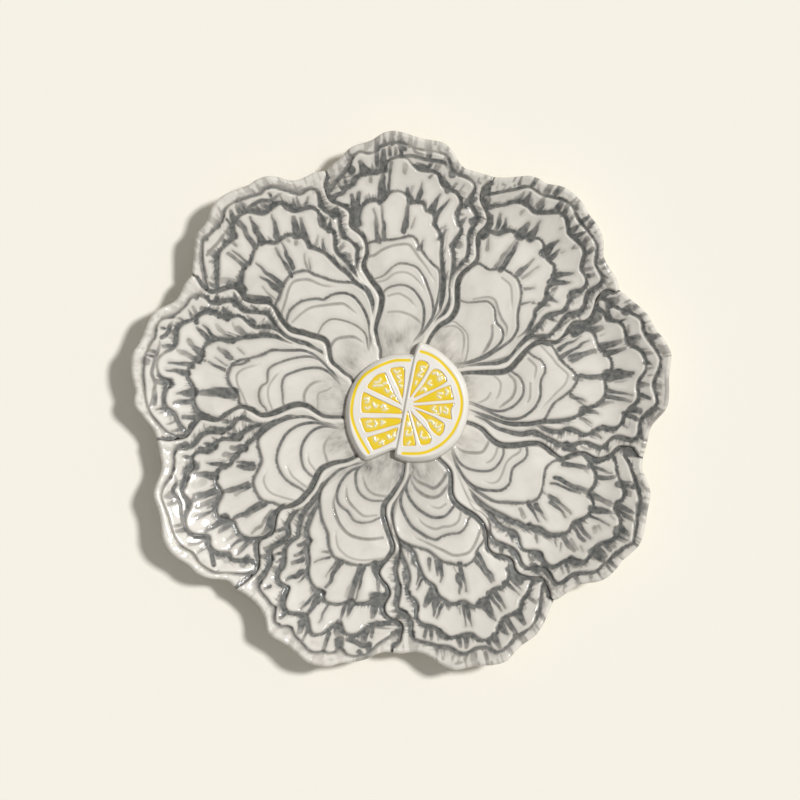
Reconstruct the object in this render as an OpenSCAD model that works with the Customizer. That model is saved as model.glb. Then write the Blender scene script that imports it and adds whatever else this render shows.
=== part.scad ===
/* [Plate] */
// Radius from the middle of the plate to the tips of the oyster shells
plate_r = 140; // [125:1:160]
// Radius of the flat floor inside the rising rim
floor_r = 102; // [94:1:110]
// Height that the rim rises above the floor
rim_rise = 10; // [7:0.5:14]
// Thickness of the dish wall
wall = 4.5; // [3:0.25:6]
// How far the edge of the shells stands out past the dish wall under it
rim_lip = 1.4; // [0.4:0.1:2.4]

/* [Foot ring] */
// Height of the foot ring under the floor
foot_h = 7; // [4:0.25:9]
// Width of the foot ring where it stands on the table
foot_w = 4.5; // [3:0.25:7]
// How much wider each flank of the foot ring is where it joins the floor
foot_flare = 0.9; // [0.3:0.1:1.5]
// Distance from the edge of the flat floor in to the foot ring
foot_inset = 24; // [16:0.5:32]

/* [Oyster shells] */
// Thickness of the lowest layer of a shell over the dish
margin_t = 1.8; // [1.6:0.1:3]
// Height of each further frilled layer over the one below it
layer_step = 0.65; // [0.5:0.05:1]
// Height of each growth ring of the smooth valve over the one before it
ring_step = 0.4; // [0.3:0.05:0.7]
// Sideways tilt of a shell, which lifts its edge over the next shell
shell_tilt = 1.5; // [0.5:0.25:2]

/* [Lemon] */
// Radius of a lemon slice
lemon_r = 30.4; // [28:0.2:34]
// Height of the lower slice over the floor
lemon_h = 7; // [6.5:0.25:10]
// How much higher the upper slice stands than the one it lies over
lemon_over = 1; // [0.5:0.25:2]
// Depth of the pockets between the membranes that hold the flesh
pocket_d = 1.2; // [0.8:0.1:2]
// How far the flesh stays below the face of the slice
flesh_sink = 0.4; // [0.2:0.05:0.6]

/* [Hidden] */
shells = 9;
pitch = 360 / shells;
// Straight steps that a drawn outline takes between two of its points
outline_steps = 3;
ring_steps = 2;
// Levels
floor_z = foot_h + wall;
top_z = floor_z + 2 * rim_rise + margin_t + 5 * layer_step + 3 * ring_step;
over = wall;
// Outlines of the shells are drawn in hundredths of the plate's radius
drawn = plate_r / 100;
// Outlines of the lemon are drawn on the same grid, where a slice has this radius
slice_radius_share = 21.7;
lemon_drawn = lemon_r / slice_radius_share;

// Rise of the dish from the floor's edge out to the tips: how far out, how far up
dish_shares = [[0, 0], [0.1, 0.02], [0.2, 0.06], [0.3, 0.14], [0.4, 0.25], [1, 1], [1.12, 1.15]];

// A shell's axis points along +Y and its free edge, which lies over the next shell, along +X.
// Free edge, from the middle of the plate out to the rim
free_edge_shares = [
    [0, 0], [2.1, 8], [3.6, 12.5], [4.4, 16], [5.3, 19], [6.5, 21], [9.3, 24.5], [12, 27.6],
    [15.5, 29.6], [18.5, 31.5], [19.8, 34], [20, 38], [20.3, 42], [20.8, 46], [22.3, 48.8],
    [25, 50.8], [27.8, 52.8], [28.8, 55], [28.3, 58], [28, 61.5], [28.9, 64.2], [31, 66.3],
    [32, 68.8], [31.6, 72], [30.2, 75], [29.6, 78], [30.2, 81], [32, 83.3], [34, 84.2]
];
// Ruffled rim, from the free edge round to where the shell before it lies over
rim_edge_shares = [
    [34, 84.2], [31, 86], [28, 87], [25, 88.8], [22.5, 91.7], [20, 94.8], [17, 97], [13.5, 98],
    [10, 98.4], [6, 99.4], [2, 100.5], [-2, 101], [-5, 100.6], [-8, 99], [-11, 97.5],
    [-14.5, 96.8], [-17.5, 95.8], [-20, 94], [-22.3, 91.8], [-24.5, 89.8], [-27, 88],
    [-28.1, 86.35]
];
// Outer frilled band, from under the shell before it round to the hinge
band_shares = [
    [-30, 74], [-28, 77], [-25.5, 79.5], [-23.5, 82.5], [-21.5, 85.5], [-19.5, 88.5], [-18, 91],
    [-15.5, 92.2], [-12, 92.7], [-9, 93.3], [-6, 95], [-3, 96.2], [0, 96.6], [3, 95.6],
    [6, 94.7], [10, 94], [13.5, 93.3], [16.5, 92], [18.5, 89.5], [20.5, 86.8], [23, 85],
    [25.5, 83.2], [26.3, 80.5], [25.2, 77.5], [25.6, 74.2], [27, 71.5], [27.2, 69.3],
    [25.5, 66.5], [24.2, 63.5], [24.2, 60.5], [24.6, 57.5], [23.5, 55], [20.8, 52.6],
    [18.6, 50], [17.6, 47.5], [17.7, 44], [17, 40], [15.5, 36], [13, 32], [10.4, 28],
    [7.6, 24], [5.9, 21], [4.7, 18.5], [3.9, 16], [3.1, 12.5]
];
// Middle frill
frill_shares = [
    [-27, 70], [-23.5, 74], [-20.5, 77.5], [-18, 80], [-16, 83], [-13.5, 84.8], [-10, 85.4],
    [-7.3, 86.6], [-5, 89], [-2.5, 90.2], [0, 90.8], [2.5, 90], [4.5, 88], [6.5, 86.3],
    [9.5, 85.8], [12.5, 85.4], [14.5, 83.5], [16, 81], [18, 79], [20, 77.5], [21, 75.3],
    [20.4, 72.5], [20, 70], [20.8, 67.7], [21.8, 65.5], [21.4, 63], [19.6, 60.5], [18.6, 58],
    [18.5, 55], [17.8, 52.5], [17, 50], [16.5, 47], [16.4, 43], [15.2, 38], [12.8, 33],
    [9.6, 28], [6.8, 24], [5.2, 21], [4.1, 18.5], [3.4, 16], [2.7, 12.5]
];
// Inner ruffle
ruffle_shares = [
    [-21, 60], [-18, 65], [-16.5, 69], [-15.3, 71.5], [-13.5, 73.5], [-11, 74.5], [-8, 75],
    [-5.5, 76.5], [-3.5, 78], [-1, 78.7], [1, 78], [3, 76], [5, 75], [8, 74.8], [10, 73],
    [11.3, 70.5], [11.8, 68], [13, 65], [14.2, 62], [14.5, 59], [14.3, 56], [14.8, 53],
    [15.2, 50], [15.1, 46], [14, 41], [12.2, 36], [9.3, 30], [6, 24], [4.5, 21], [3.5, 18.5],
    [2.8, 16], [2.2, 12.5]
];
// Smooth valve
valve_shares = [
    [-18, 48], [-15, 53], [-12.5, 57], [-10.5, 58.2], [-8, 59.7], [-6, 61.5], [-3, 63],
    [0, 63.4], [3, 62.3], [5, 60.3], [6.5, 57.8], [8.5, 55], [11, 52], [13, 49], [13.8, 46],
    [13.3, 42], [12.3, 38], [11, 34], [8.2, 28.5], [5.3, 24], [3.9, 21], [3, 18.5], [2.3, 16],
    [1.7, 12.5]
];
// First growth ring of each shell
growth_ring_shares = [
    [[-16, 45.5], [-10, 46.5], [-7, 47.5], [-5, 49], [-3, 51], [-1, 52], [1, 52], [4, 51.3],
        [6, 50], [8, 47], [9.5, 43], [10.4, 39], [10.4, 35], [9.4, 31], [7, 27], [4.6, 24], [2.4, 20]],
    [[-14, 42], [-7, 43.8], [-4, 46], [-2, 48], [0, 49.5], [3, 49], [5, 47], [7, 45.5], [10, 45],
        [11.6, 43], [12, 39.5], [11.2, 35], [9.6, 31], [7, 27], [4.6, 24], [2.4, 20]],
    [[-16, 46], [-10, 50], [-7.5, 53], [-5, 54], [-3, 53.5], [-1, 52], [2, 51], [5, 50.5],
        [8, 48.5], [10, 46], [11.4, 42], [10.8, 38], [9, 34], [5.6, 29], [3.4, 25], [2, 20]],
    [[-17, 45], [-10, 47], [-8, 48.3], [-6, 48.5], [-4, 47.8], [-2, 46.8], [0, 46.5], [3, 47.5],
        [5, 48.2], [8, 47], [10, 44], [11, 40], [10.6, 35], [9, 30], [6.5, 26.5], [4.5, 24], [2.4, 20]],
    [[-16, 44], [-9, 47], [-7, 49.3], [-4, 50.7], [-1, 50], [2, 49.7], [5, 50], [7, 48.5],
        [9, 46], [11, 43], [11.5, 39], [10.9, 35], [9.6, 31], [7, 27], [4.6, 24], [2.4, 20]],
    [[-16, 46], [-10, 48], [-6, 50], [-2, 51], [2, 51], [6, 49], [9, 46], [11, 42.5], [11.3, 38],
        [10.4, 34], [8.8, 30], [6.6, 26.6], [4.6, 24], [2.4, 20]],
    [[-16, 44], [-9, 46.5], [-6, 48], [-3, 49.7], [0, 50.3], [4, 50], [7, 48.5], [10, 45],
        [11.6, 41], [11.4, 36], [9.6, 31], [7, 27], [4.6, 24], [2.4, 20]],
    [[-17, 45], [-10, 48.5], [-8, 50.8], [-5, 52.2], [-2, 51.7], [0, 50], [4, 50.3], [6, 49],
        [8, 46], [10, 42], [10.9, 37], [10.3, 33], [8.8, 29.5], [6.6, 26.5], [4.6, 24], [2.4, 20]],
    [[-18, 47], [-12, 51], [-9, 52.8], [-5, 53], [-2, 52], [1, 50], [3, 48], [6, 47.5], [9, 46],
        [11, 44], [12, 41], [11.2, 36], [9.6, 31], [7, 27], [4.6, 24], [2.4, 20]]
];
// Second growth ring of each shell, round the beak
beak_ring_shares = [
    [[-12, 37], [-7, 41], [-5, 43], [-2, 44], [1, 44], [4, 42.5], [6, 40], [7.5, 37], [7.8, 33],
        [6.8, 28], [4.4, 24.6], [1.8, 20]],
    [[-12, 33], [-6, 35.5], [-4, 36.2], [1, 35.8], [4, 33], [5.6, 30], [5.6, 27], [4, 24.4],
        [1.8, 20]],
    [[-12, 36], [-5, 42], [-3, 44], [0, 45], [3, 44.5], [5, 43], [7, 40], [7.8, 36], [6.6, 32],
        [4.3, 28], [2.6, 25], [1.5, 20]],
    [[-12, 36], [-5, 40], [-3, 41], [0, 41.2], [3, 40.5], [5, 38.5], [6.8, 34], [6.8, 30],
        [5.4, 26.5], [3.8, 24], [1.8, 20]],
    [[-12, 36], [-5, 41], [-2, 42.7], [0, 43], [3, 42], [5, 40], [7, 37], [8, 33], [7.4, 29],
        [5.8, 26], [3.8, 23.6], [1.8, 20]],
    [[-12, 37], [-6, 41.5], [-4, 43.5], [-1, 45], [2, 45.2], [5, 43], [7.6, 41.6], [9.2, 39],
        [9.6, 36], [8.6, 31.5], [6.4, 27.6], [4, 24.2], [1.8, 20]],
    [[-12, 38], [-6, 41], [-3, 42], [-1, 42], [2, 41], [5, 39], [7, 36], [7.8, 32], [6.6, 28],
        [4.2, 24.4], [1.8, 20]],
    [[-13, 39], [-7, 42.5], [-4, 43.3], [0, 44.3], [3, 43.8], [5, 41], [7, 37], [7.8, 32],
        [6.6, 28], [4.2, 24.4], [1.8, 20]],
    [[-12, 37], [-5, 40.5], [-2, 41.3], [1, 40.5], [4, 37], [6, 33], [6.2, 29], [5, 26],
        [3.8, 23.8], [1.8, 20]]
];

// Lemon slices, seen from above with +Y up
slice_right_shares = [
    [6.6, 23.2], [9, 22.8], [12, 21.5], [16, 18.5], [20, 14.5], [23, 9.8], [24.4, 5], [24.8, 0.5],
    [24.2, -4.5], [22.5, -9.5], [20, -13.5], [16, -17], [12, -19.2], [8, -20.1], [4, -20.3],
    [1, -19.9], [-1.2, -19], [-2.4, -17.6], [-1.2, -12], [-0.1, -6], [1, 0], [2.5, 8], [3.9, 15.3],
    [4.7, 18.4]
];
slice_left_shares = [
    [6, 18.4], [3, 19], [0, 19.1], [-4, 18.7], [-8, 17.2], [-12, 14.7], [-15.5, 11.4], [-18, 7.5],
    [-19.6, 3], [-20.2, -1], [-20, -5], [-19, -9.5], [-17.5, -13.5], [-15.6, -17], [-13.8, -19],
    [-12.2, -19.4], [-8, -17.8], [-4, -16.2], [2, -13.8], [6, -8]
];
flesh_left_shares = [
    [[-4.2, 13.5], [-3.6, 14.1], [-0.2, 14.5], [1.1, 13.9], [1.3, 12.5], [1.1, 7.7], [0.6, 3.3],
        [0, 2.7], [-1.6, 7], [-4.2, 12.4]],
    [[-12.8, 7], [-11.5, 9.2], [-9.3, 11.4], [-6.8, 12.3], [-5.7, 11.9], [-4.6, 9.2], [-2.7, 4.8],
        [-0.9, 1.8], [0.1, 0.2], [-2.4, 1.5], [-6, 3.3], [-11.5, 5.9]],
    [[-14.3, 4.8], [-13.4, 5.1], [-9.7, 3.3], [-4.2, 0.7], [-0.2, -1.2], [-0.2, -3], [-6, -2.9],
        [-13.4, -2.7], [-14.6, -2.4], [-15, -0.7], [-14.8, 2.6]],
    [[-15.1, -4.4], [-9.7, -4.3], [-0.7, -4.4], [-0.7, -6.6], [-4.2, -7.7], [-9.7, -9.3],
        [-12.8, -9.9], [-13.9, -8.8], [-14.7, -6.6]],
    [[-12.9, -11.7], [-11.5, -11], [-6, -9.3], [-1.5, -7.8], [-1.7, -10.1], [-2.2, -12.1],
        [-3.2, -13.2], [-6, -14.7], [-10.1, -16.3], [-10.8, -15.8], [-12.3, -13.2]]
];
flesh_right_shares = [
    [[5.1, 15], [5.8, 16.5], [7.1, 16.9], [9.2, 16.3], [10.2, 15], [9.9, 13.6], [7.9, 9.9],
        [4.9, 5.5], [3.5, 3.3], [2.8, 2.9], [2.9, 4], [3.9, 9.2]],
    [[10.6, 12.6], [12.1, 13.7], [14.1, 13.2], [15.9, 11.4], [16.7, 9.7], [16.3, 8.6],
        [12.3, 6.2], [7.1, 4], [4.2, 2.7], [4.9, 4.4], [7.9, 8.1]],
    [[3.7, 1.2], [6.8, 2.9], [12.3, 5.7], [17.4, 7.6], [18.1, 7.3], [18.7, 4.8], [19.2, 2.6],
        [18.5, 2.1], [12.3, 1.6], [6.8, 1.1]],
    [[3.5, 0.1], [8.6, 0.5], [15.9, 1], [19.2, 1.2], [19.3, 0.5], [18.3, -1.5], [18.5, -4.4],
        [18.2, -5.1], [15.2, -4.4], [10.4, -2.6], [6, -0.9]],
    [[4.2, -0.9], [7.1, -1.8], [11.5, -3.7], [15.2, -5.9], [15.9, -7], [15.6, -9.2],
        [14.5, -10.8], [13.6, -11.2], [12.5, -10.6], [10.4, -8.4], [9, -5.5], [6, -2.6]],
    [[3.1, -1.6], [4.9, -3.7], [7.1, -6.2], [9.7, -9.2], [11, -11.7], [10.6, -13.6],
        [9.3, -14.3], [7.5, -14.5], [6.6, -13.6], [5.5, -9.9], [4.2, -5.5]],
    [[2.3, -1.6], [3.5, -5.5], [4.6, -9.9], [5.3, -13.6], [5.1, -14.7], [3.5, -14.8],
        [0.9, -14.8], [0.3, -14.1], [0.5, -9.9], [1.3, -5.1]]
];

// Point number i of an open outline, or of a closed one that starts again
function at(p, i) = p[max(0, min(len(p) - 1, i))];
function again(p, i) = p[(i + len(p)) % len(p)];
// Point at share t between b and c of a smooth line through a, b, c and d
function between(a, b, c, d, t) =
    (2 * b + (c - a) * t + (2 * a - 5 * b + 4 * c - d) * t * t + (3 * b - a - 3 * c + d) * t * t * t) / 2;
function smooth_line(p, n) = concat(
    [for (i = [0 : len(p) - 2], k = [0 : n - 1])
        between(at(p, i - 1), at(p, i), at(p, i + 1), at(p, i + 2), k / n)],
    [at(p, len(p) - 1)]
);
function smooth_loop(p, n) = [for (i = [0 : len(p) - 1], k = [0 : n - 1])
    between(again(p, i - 1), again(p, i), again(p, i + 1), again(p, i + 2), k / n)];
// The same point one shell further round, clockwise for a positive angle
function turned(q, a) = [q[0] * cos(a) + q[1] * sin(a), q[1] * cos(a) - q[0] * sin(a)];
function backwards(p) = [for (i = [len(p) - 1 : -1 : 0]) p[i]];
function without_first(p) = [for (i = [1 : len(p) - 1]) p[i]];
function without_ends(p) = [for (i = [1 : len(p) - 2]) p[i]];

free_edge = smooth_line(free_edge_shares, outline_steps);
rim_edge = smooth_line(rim_edge_shares, outline_steps);
// The covered edge has to run from the rim back to the middle
covered_edge = [for (q = backwards(without_first(free_edge))) turned(q, -pitch)];
cell = concat(free_edge, without_ends(rim_edge), covered_edge);
plate_outline = [for (s = [0 : shells - 1], q = backwards(without_first(rim_edge))) turned(q, s * pitch)];
hidden_corner_shares = [[0, 0], [-30, 10]];
// The nine tips don't lie opposite each other, so the box round them has its own middle
middle_x = drawn * (max([for (q = plate_outline) q[0]]) + min([for (q = plate_outline) q[0]])) / 2;
middle_y = drawn * (max([for (q = plate_outline) q[1]]) + min([for (q = plate_outline) q[1]])) / 2;

function dish_line(lift) = [for (s = dish_shares)
    [floor_r + s[0] * (plate_r - floor_r), floor_z + lift + s[1] * rim_rise]];
dish_reach = floor_r + dish_shares[len(dish_shares) - 1][0] * (plate_r - floor_r);

// Stands the part with the middle of its box over the origin
module placed() {
    translate([-middle_x, -middle_y, 0])
        children();
}

// Everything above the inner face of the dish
module above_dish() {
    rotate_extrude()
        polygon(concat([[0, floor_z]], dish_line(0), [[dish_reach, top_z + over], [0, top_z + over]]));
}

// Everything below a face that follows the dish at a given lift, tilted towards the free edge
module below_face(lift) {
    translate([0, 0, floor_z])
        rotate([0, -shell_tilt, 0])
            translate([0, 0, -floor_z])
                rotate_extrude()
                    polygon(concat([[0, floor_z + lift]], dish_line(lift), [[dish_reach, -over], [0, -over]]));
}

module drawn_prism(outline) {
    linear_extrude(height = top_z)
        polygon(outline * drawn);
}

// One layer of a shell: its outline, closed out of sight, up to its own face
module shell_layer(shares, steps, lift) {
    intersection() {
        drawn_prism(concat(smooth_line(shares, steps), hidden_corner_shares));
        below_face(lift);
    }
}

module oyster_shell(number) {
    difference() {
        rotate([0, 0, -number * pitch])
            intersection() {
                drawn_prism(cell);
                above_dish();
                union() {
                    below_face(margin_t);
                    shell_layer(band_shares, outline_steps, margin_t + layer_step);
                    shell_layer(frill_shares, outline_steps, margin_t + 2 * layer_step);
                    shell_layer(ruffle_shares, outline_steps, margin_t + 3 * layer_step);
                    shell_layer(valve_shares, outline_steps, margin_t + 4 * layer_step);
                    shell_layer(growth_ring_shares[number], ring_steps,
                        margin_t + 4 * layer_step + ring_step);
                    shell_layer(beak_ring_shares[number], ring_steps,
                        margin_t + 4 * layer_step + 2 * ring_step);
                }
            }
        slice_prism(slice_left_shares, top_z);
        slice_prism(slice_right_shares, top_z);
    }
}

module slice_prism(shares, height) {
    linear_extrude(height = height)
        polygon(smooth_loop(shares, ring_steps) * lemon_drawn);
}

// The wedges of flesh of one slice, from the bottom of their pockets up to a level
module flesh(wedges, low, high) {
    for (wedge = wedges)
        translate([0, 0, low])
            linear_extrude(height = high - low)
                polygon(wedge * lemon_drawn);
}

// Dish of the plate, whose rim follows the ruffled edge of the nine shells
module plate_body() {
    color([0.85, 0.83, 0.78]) placed()
        intersection() {
            linear_extrude(height = top_z)
                polygon(plate_outline * drawn * (plate_r - rim_lip) / plate_r);
            rotate_extrude()
                polygon(concat([[0, floor_z]], dish_line(0), backwards(dish_line(-wall)), [[0, foot_h]]));
        }
}

// Unglazed ring that the plate stands on
module foot_ring() {
    foot_r = floor_r - foot_inset;
    color([0.80, 0.76, 0.70]) placed()
        rotate_extrude()
            polygon([
                [foot_r - foot_flare, 0],
                [foot_r, foot_h],
                [foot_r - foot_w - 2 * foot_flare, foot_h],
                [foot_r - foot_w - foot_flare, 0]
            ]);
}

module oyster_shell_1() {
    color([0.87, 0.85, 0.80]) placed() oyster_shell(0);
}

module oyster_shell_2() {
    color([0.87, 0.85, 0.80]) placed() oyster_shell(1);
}

module oyster_shell_3() {
    color([0.87, 0.85, 0.80]) placed() oyster_shell(2);
}

module oyster_shell_4() {
    color([0.87, 0.85, 0.80]) placed() oyster_shell(3);
}

module oyster_shell_5() {
    color([0.87, 0.85, 0.80]) placed() oyster_shell(4);
}

module oyster_shell_6() {
    color([0.87, 0.85, 0.80]) placed() oyster_shell(5);
}

module oyster_shell_7() {
    color([0.87, 0.85, 0.80]) placed() oyster_shell(6);
}

module oyster_shell_8() {
    color([0.87, 0.85, 0.80]) placed() oyster_shell(7);
}

module oyster_shell_9() {
    color([0.87, 0.85, 0.80]) placed() oyster_shell(8);
}

// Lower slice, partly under the other one
module lemon_slice_left() {
    slice_top = floor_z + lemon_h;
    color([0.93, 0.91, 0.87]) placed()
        difference() {
            slice_prism(slice_left_shares, slice_top);
            translate([0, 0, -over])
                slice_prism(slice_right_shares, top_z + over);
            translate([0, 0, -over])
                cylinder(r = plate_r, h = over + floor_z);
            flesh(flesh_left_shares, slice_top - pocket_d, slice_top + over);
        }
}

// Upper slice
module lemon_slice_right() {
    slice_top = floor_z + lemon_h + lemon_over;
    color([0.93, 0.91, 0.87]) placed()
        difference() {
            slice_prism(slice_right_shares, slice_top);
            translate([0, 0, -over])
                cylinder(r = plate_r, h = over + floor_z);
            flesh(flesh_right_shares, slice_top - pocket_d, slice_top + over);
        }
}

module lemon_flesh_left() {
    slice_top = floor_z + lemon_h;
    color([0.94, 0.80, 0.08]) placed()
        flesh(flesh_left_shares, slice_top - pocket_d, slice_top - flesh_sink);
}

module lemon_flesh_right() {
    slice_top = floor_z + lemon_h + lemon_over;
    color([0.94, 0.80, 0.08]) placed()
        flesh(flesh_right_shares, slice_top - pocket_d, slice_top - flesh_sink);
}

plate_body();
foot_ring();
oyster_shell_1();
oyster_shell_2();
oyster_shell_3();
oyster_shell_4();
oyster_shell_5();
oyster_shell_6();
oyster_shell_7();
oyster_shell_8();
oyster_shell_9();
lemon_slice_left();
lemon_slice_right();
lemon_flesh_left();
lemon_flesh_right();
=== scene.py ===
import math
import bpy
import numpy as np
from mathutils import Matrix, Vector


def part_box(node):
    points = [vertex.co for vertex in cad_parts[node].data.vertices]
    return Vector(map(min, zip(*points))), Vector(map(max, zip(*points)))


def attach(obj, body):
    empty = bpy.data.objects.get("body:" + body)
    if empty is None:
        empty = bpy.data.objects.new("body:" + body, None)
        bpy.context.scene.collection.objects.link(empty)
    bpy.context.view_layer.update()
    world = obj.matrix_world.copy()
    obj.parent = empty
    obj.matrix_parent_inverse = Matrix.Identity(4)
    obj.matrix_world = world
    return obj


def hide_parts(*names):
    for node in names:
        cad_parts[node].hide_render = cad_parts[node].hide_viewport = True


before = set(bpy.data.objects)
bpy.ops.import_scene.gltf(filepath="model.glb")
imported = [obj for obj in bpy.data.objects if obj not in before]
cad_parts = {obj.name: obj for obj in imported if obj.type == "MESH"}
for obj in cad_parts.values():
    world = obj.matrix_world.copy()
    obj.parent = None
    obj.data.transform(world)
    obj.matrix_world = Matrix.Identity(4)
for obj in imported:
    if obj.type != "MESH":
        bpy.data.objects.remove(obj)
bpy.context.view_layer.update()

bpy.ops.object.select_all(action="DESELECT")

# The photographer's table: a smooth cream-white sheet of card under the plate. One lamp stands to
# the right and a little above the picture, fairly high, and the white room fills the shadows.
ring_low, ring_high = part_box("foot_ring")
axis_x = (ring_low[0] + ring_high[0]) / 2
axis_y = (ring_low[1] + ring_high[1]) / 2
plate_r = 0.140


def srgb(text):
    """A colour written as sRGB hex, as the linear values that Blender wants."""
    parts = [int(text[i:i + 2], 16) / 255 for i in (1, 3, 5)]
    return [c / 12.92 if c <= 0.04045 else ((c + 0.055) / 1.055) ** 2.4 for c in parts] + [1.0]


def new_material(name):
    material = bpy.data.materials.new(name)
    material.use_nodes = True
    tree = material.node_tree
    return material, tree, tree.nodes["Principled BSDF"]


def add_node(tree, kind, settings=(), **links):
    """Adds a node, sets its properties and inputs, and links what is given as a socket."""
    node = tree.nodes.new(kind)
    for key, value in dict(settings).items():
        setattr(node, key, value)
    for key, value in links.items():
        socket = node.inputs[int(key[1:])] if key[0] == "i" and key[1:].isdigit() else node.inputs[key]
        if isinstance(value, bpy.types.NodeSocket):
            tree.links.new(value, socket)
        else:
            socket.default_value = value
    return node


table_half = 3.0
bpy.ops.mesh.primitive_plane_add(size=2 * table_half)
table = bpy.context.object
table.name = "card_table"
card, tree, shader = new_material("matt coated card")
shader.inputs["Base Color"].default_value = srgb("#F6F2E6")
shader.inputs["Roughness"].default_value = 0.9
shader.inputs["Specular IOR Level"].default_value = 0.1
table.data.materials.append(card)

# Seen from straight above, so the plate's rim fills 546 of the picture's 800 pixels
camera_height = 1.9
picture_px = 800
rim_px = 273.0
rim_level = 0.023
plate_px = (401.5, 406.0)
view_width = picture_px / rim_px * plate_r * camera_height / (camera_height - rim_level)
bpy.ops.object.camera_add(
    location=(axis_x - (plate_px[0] - picture_px / 2) * plate_r / rim_px,
              axis_y + (plate_px[1] - picture_px / 2) * plate_r / rim_px, camera_height))
camera = bpy.context.object
camera.name = "camera"
camera.data.sensor_width = 36
camera.data.lens = camera.data.sensor_width * camera_height / view_width
camera.data.clip_end = 20
bpy.context.scene.camera = camera

lamp_turn = math.radians(68)
lamp_rise = math.radians(55)
lamp_way = Vector((math.sin(lamp_turn) * math.cos(lamp_rise), math.cos(lamp_turn) * math.cos(lamp_rise),
                   math.sin(lamp_rise)))
bpy.ops.object.light_add(type="SUN", location=lamp_way)
lamp = bpy.context.object
lamp.name = "softbox"
lamp.data.angle = math.radians(8)
lamp.data.energy = 2.62
lamp.rotation_euler = (-lamp_way).to_track_quat("-Z", "Y").to_euler()
room = bpy.data.worlds.new("white room")
room.use_nodes = True
room.node_tree.nodes["Background"].inputs["Color"].default_value = srgb("#FFFFFF")
room.node_tree.nodes["Background"].inputs["Strength"].default_value = 0.316
bpy.context.scene.world = room
bpy.context.scene.view_settings.view_transform = "Standard"

# The nine oyster shells, pressed in one mould with the plate and finished by hand. Each lies over the
# next one clockwise. Cream tin glaze pools in the hollows over a brushed grey oxide wash. A shell is
# drawn with its axis along +Y, in hundredths of the plate's radius, and turned to its place.
shell_count = 9
pitch = 360 / shell_count
hundredth = plate_r / 100
floor_level = 0.0115
wall = 0.0045
flat_r = 0.102
rim_slope = 0.329
slope_end_r = 0.1172
shell_columns = 280
shell_rows = 274
lip_rows = 12
under_columns = 29
under_rows = 20

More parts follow.
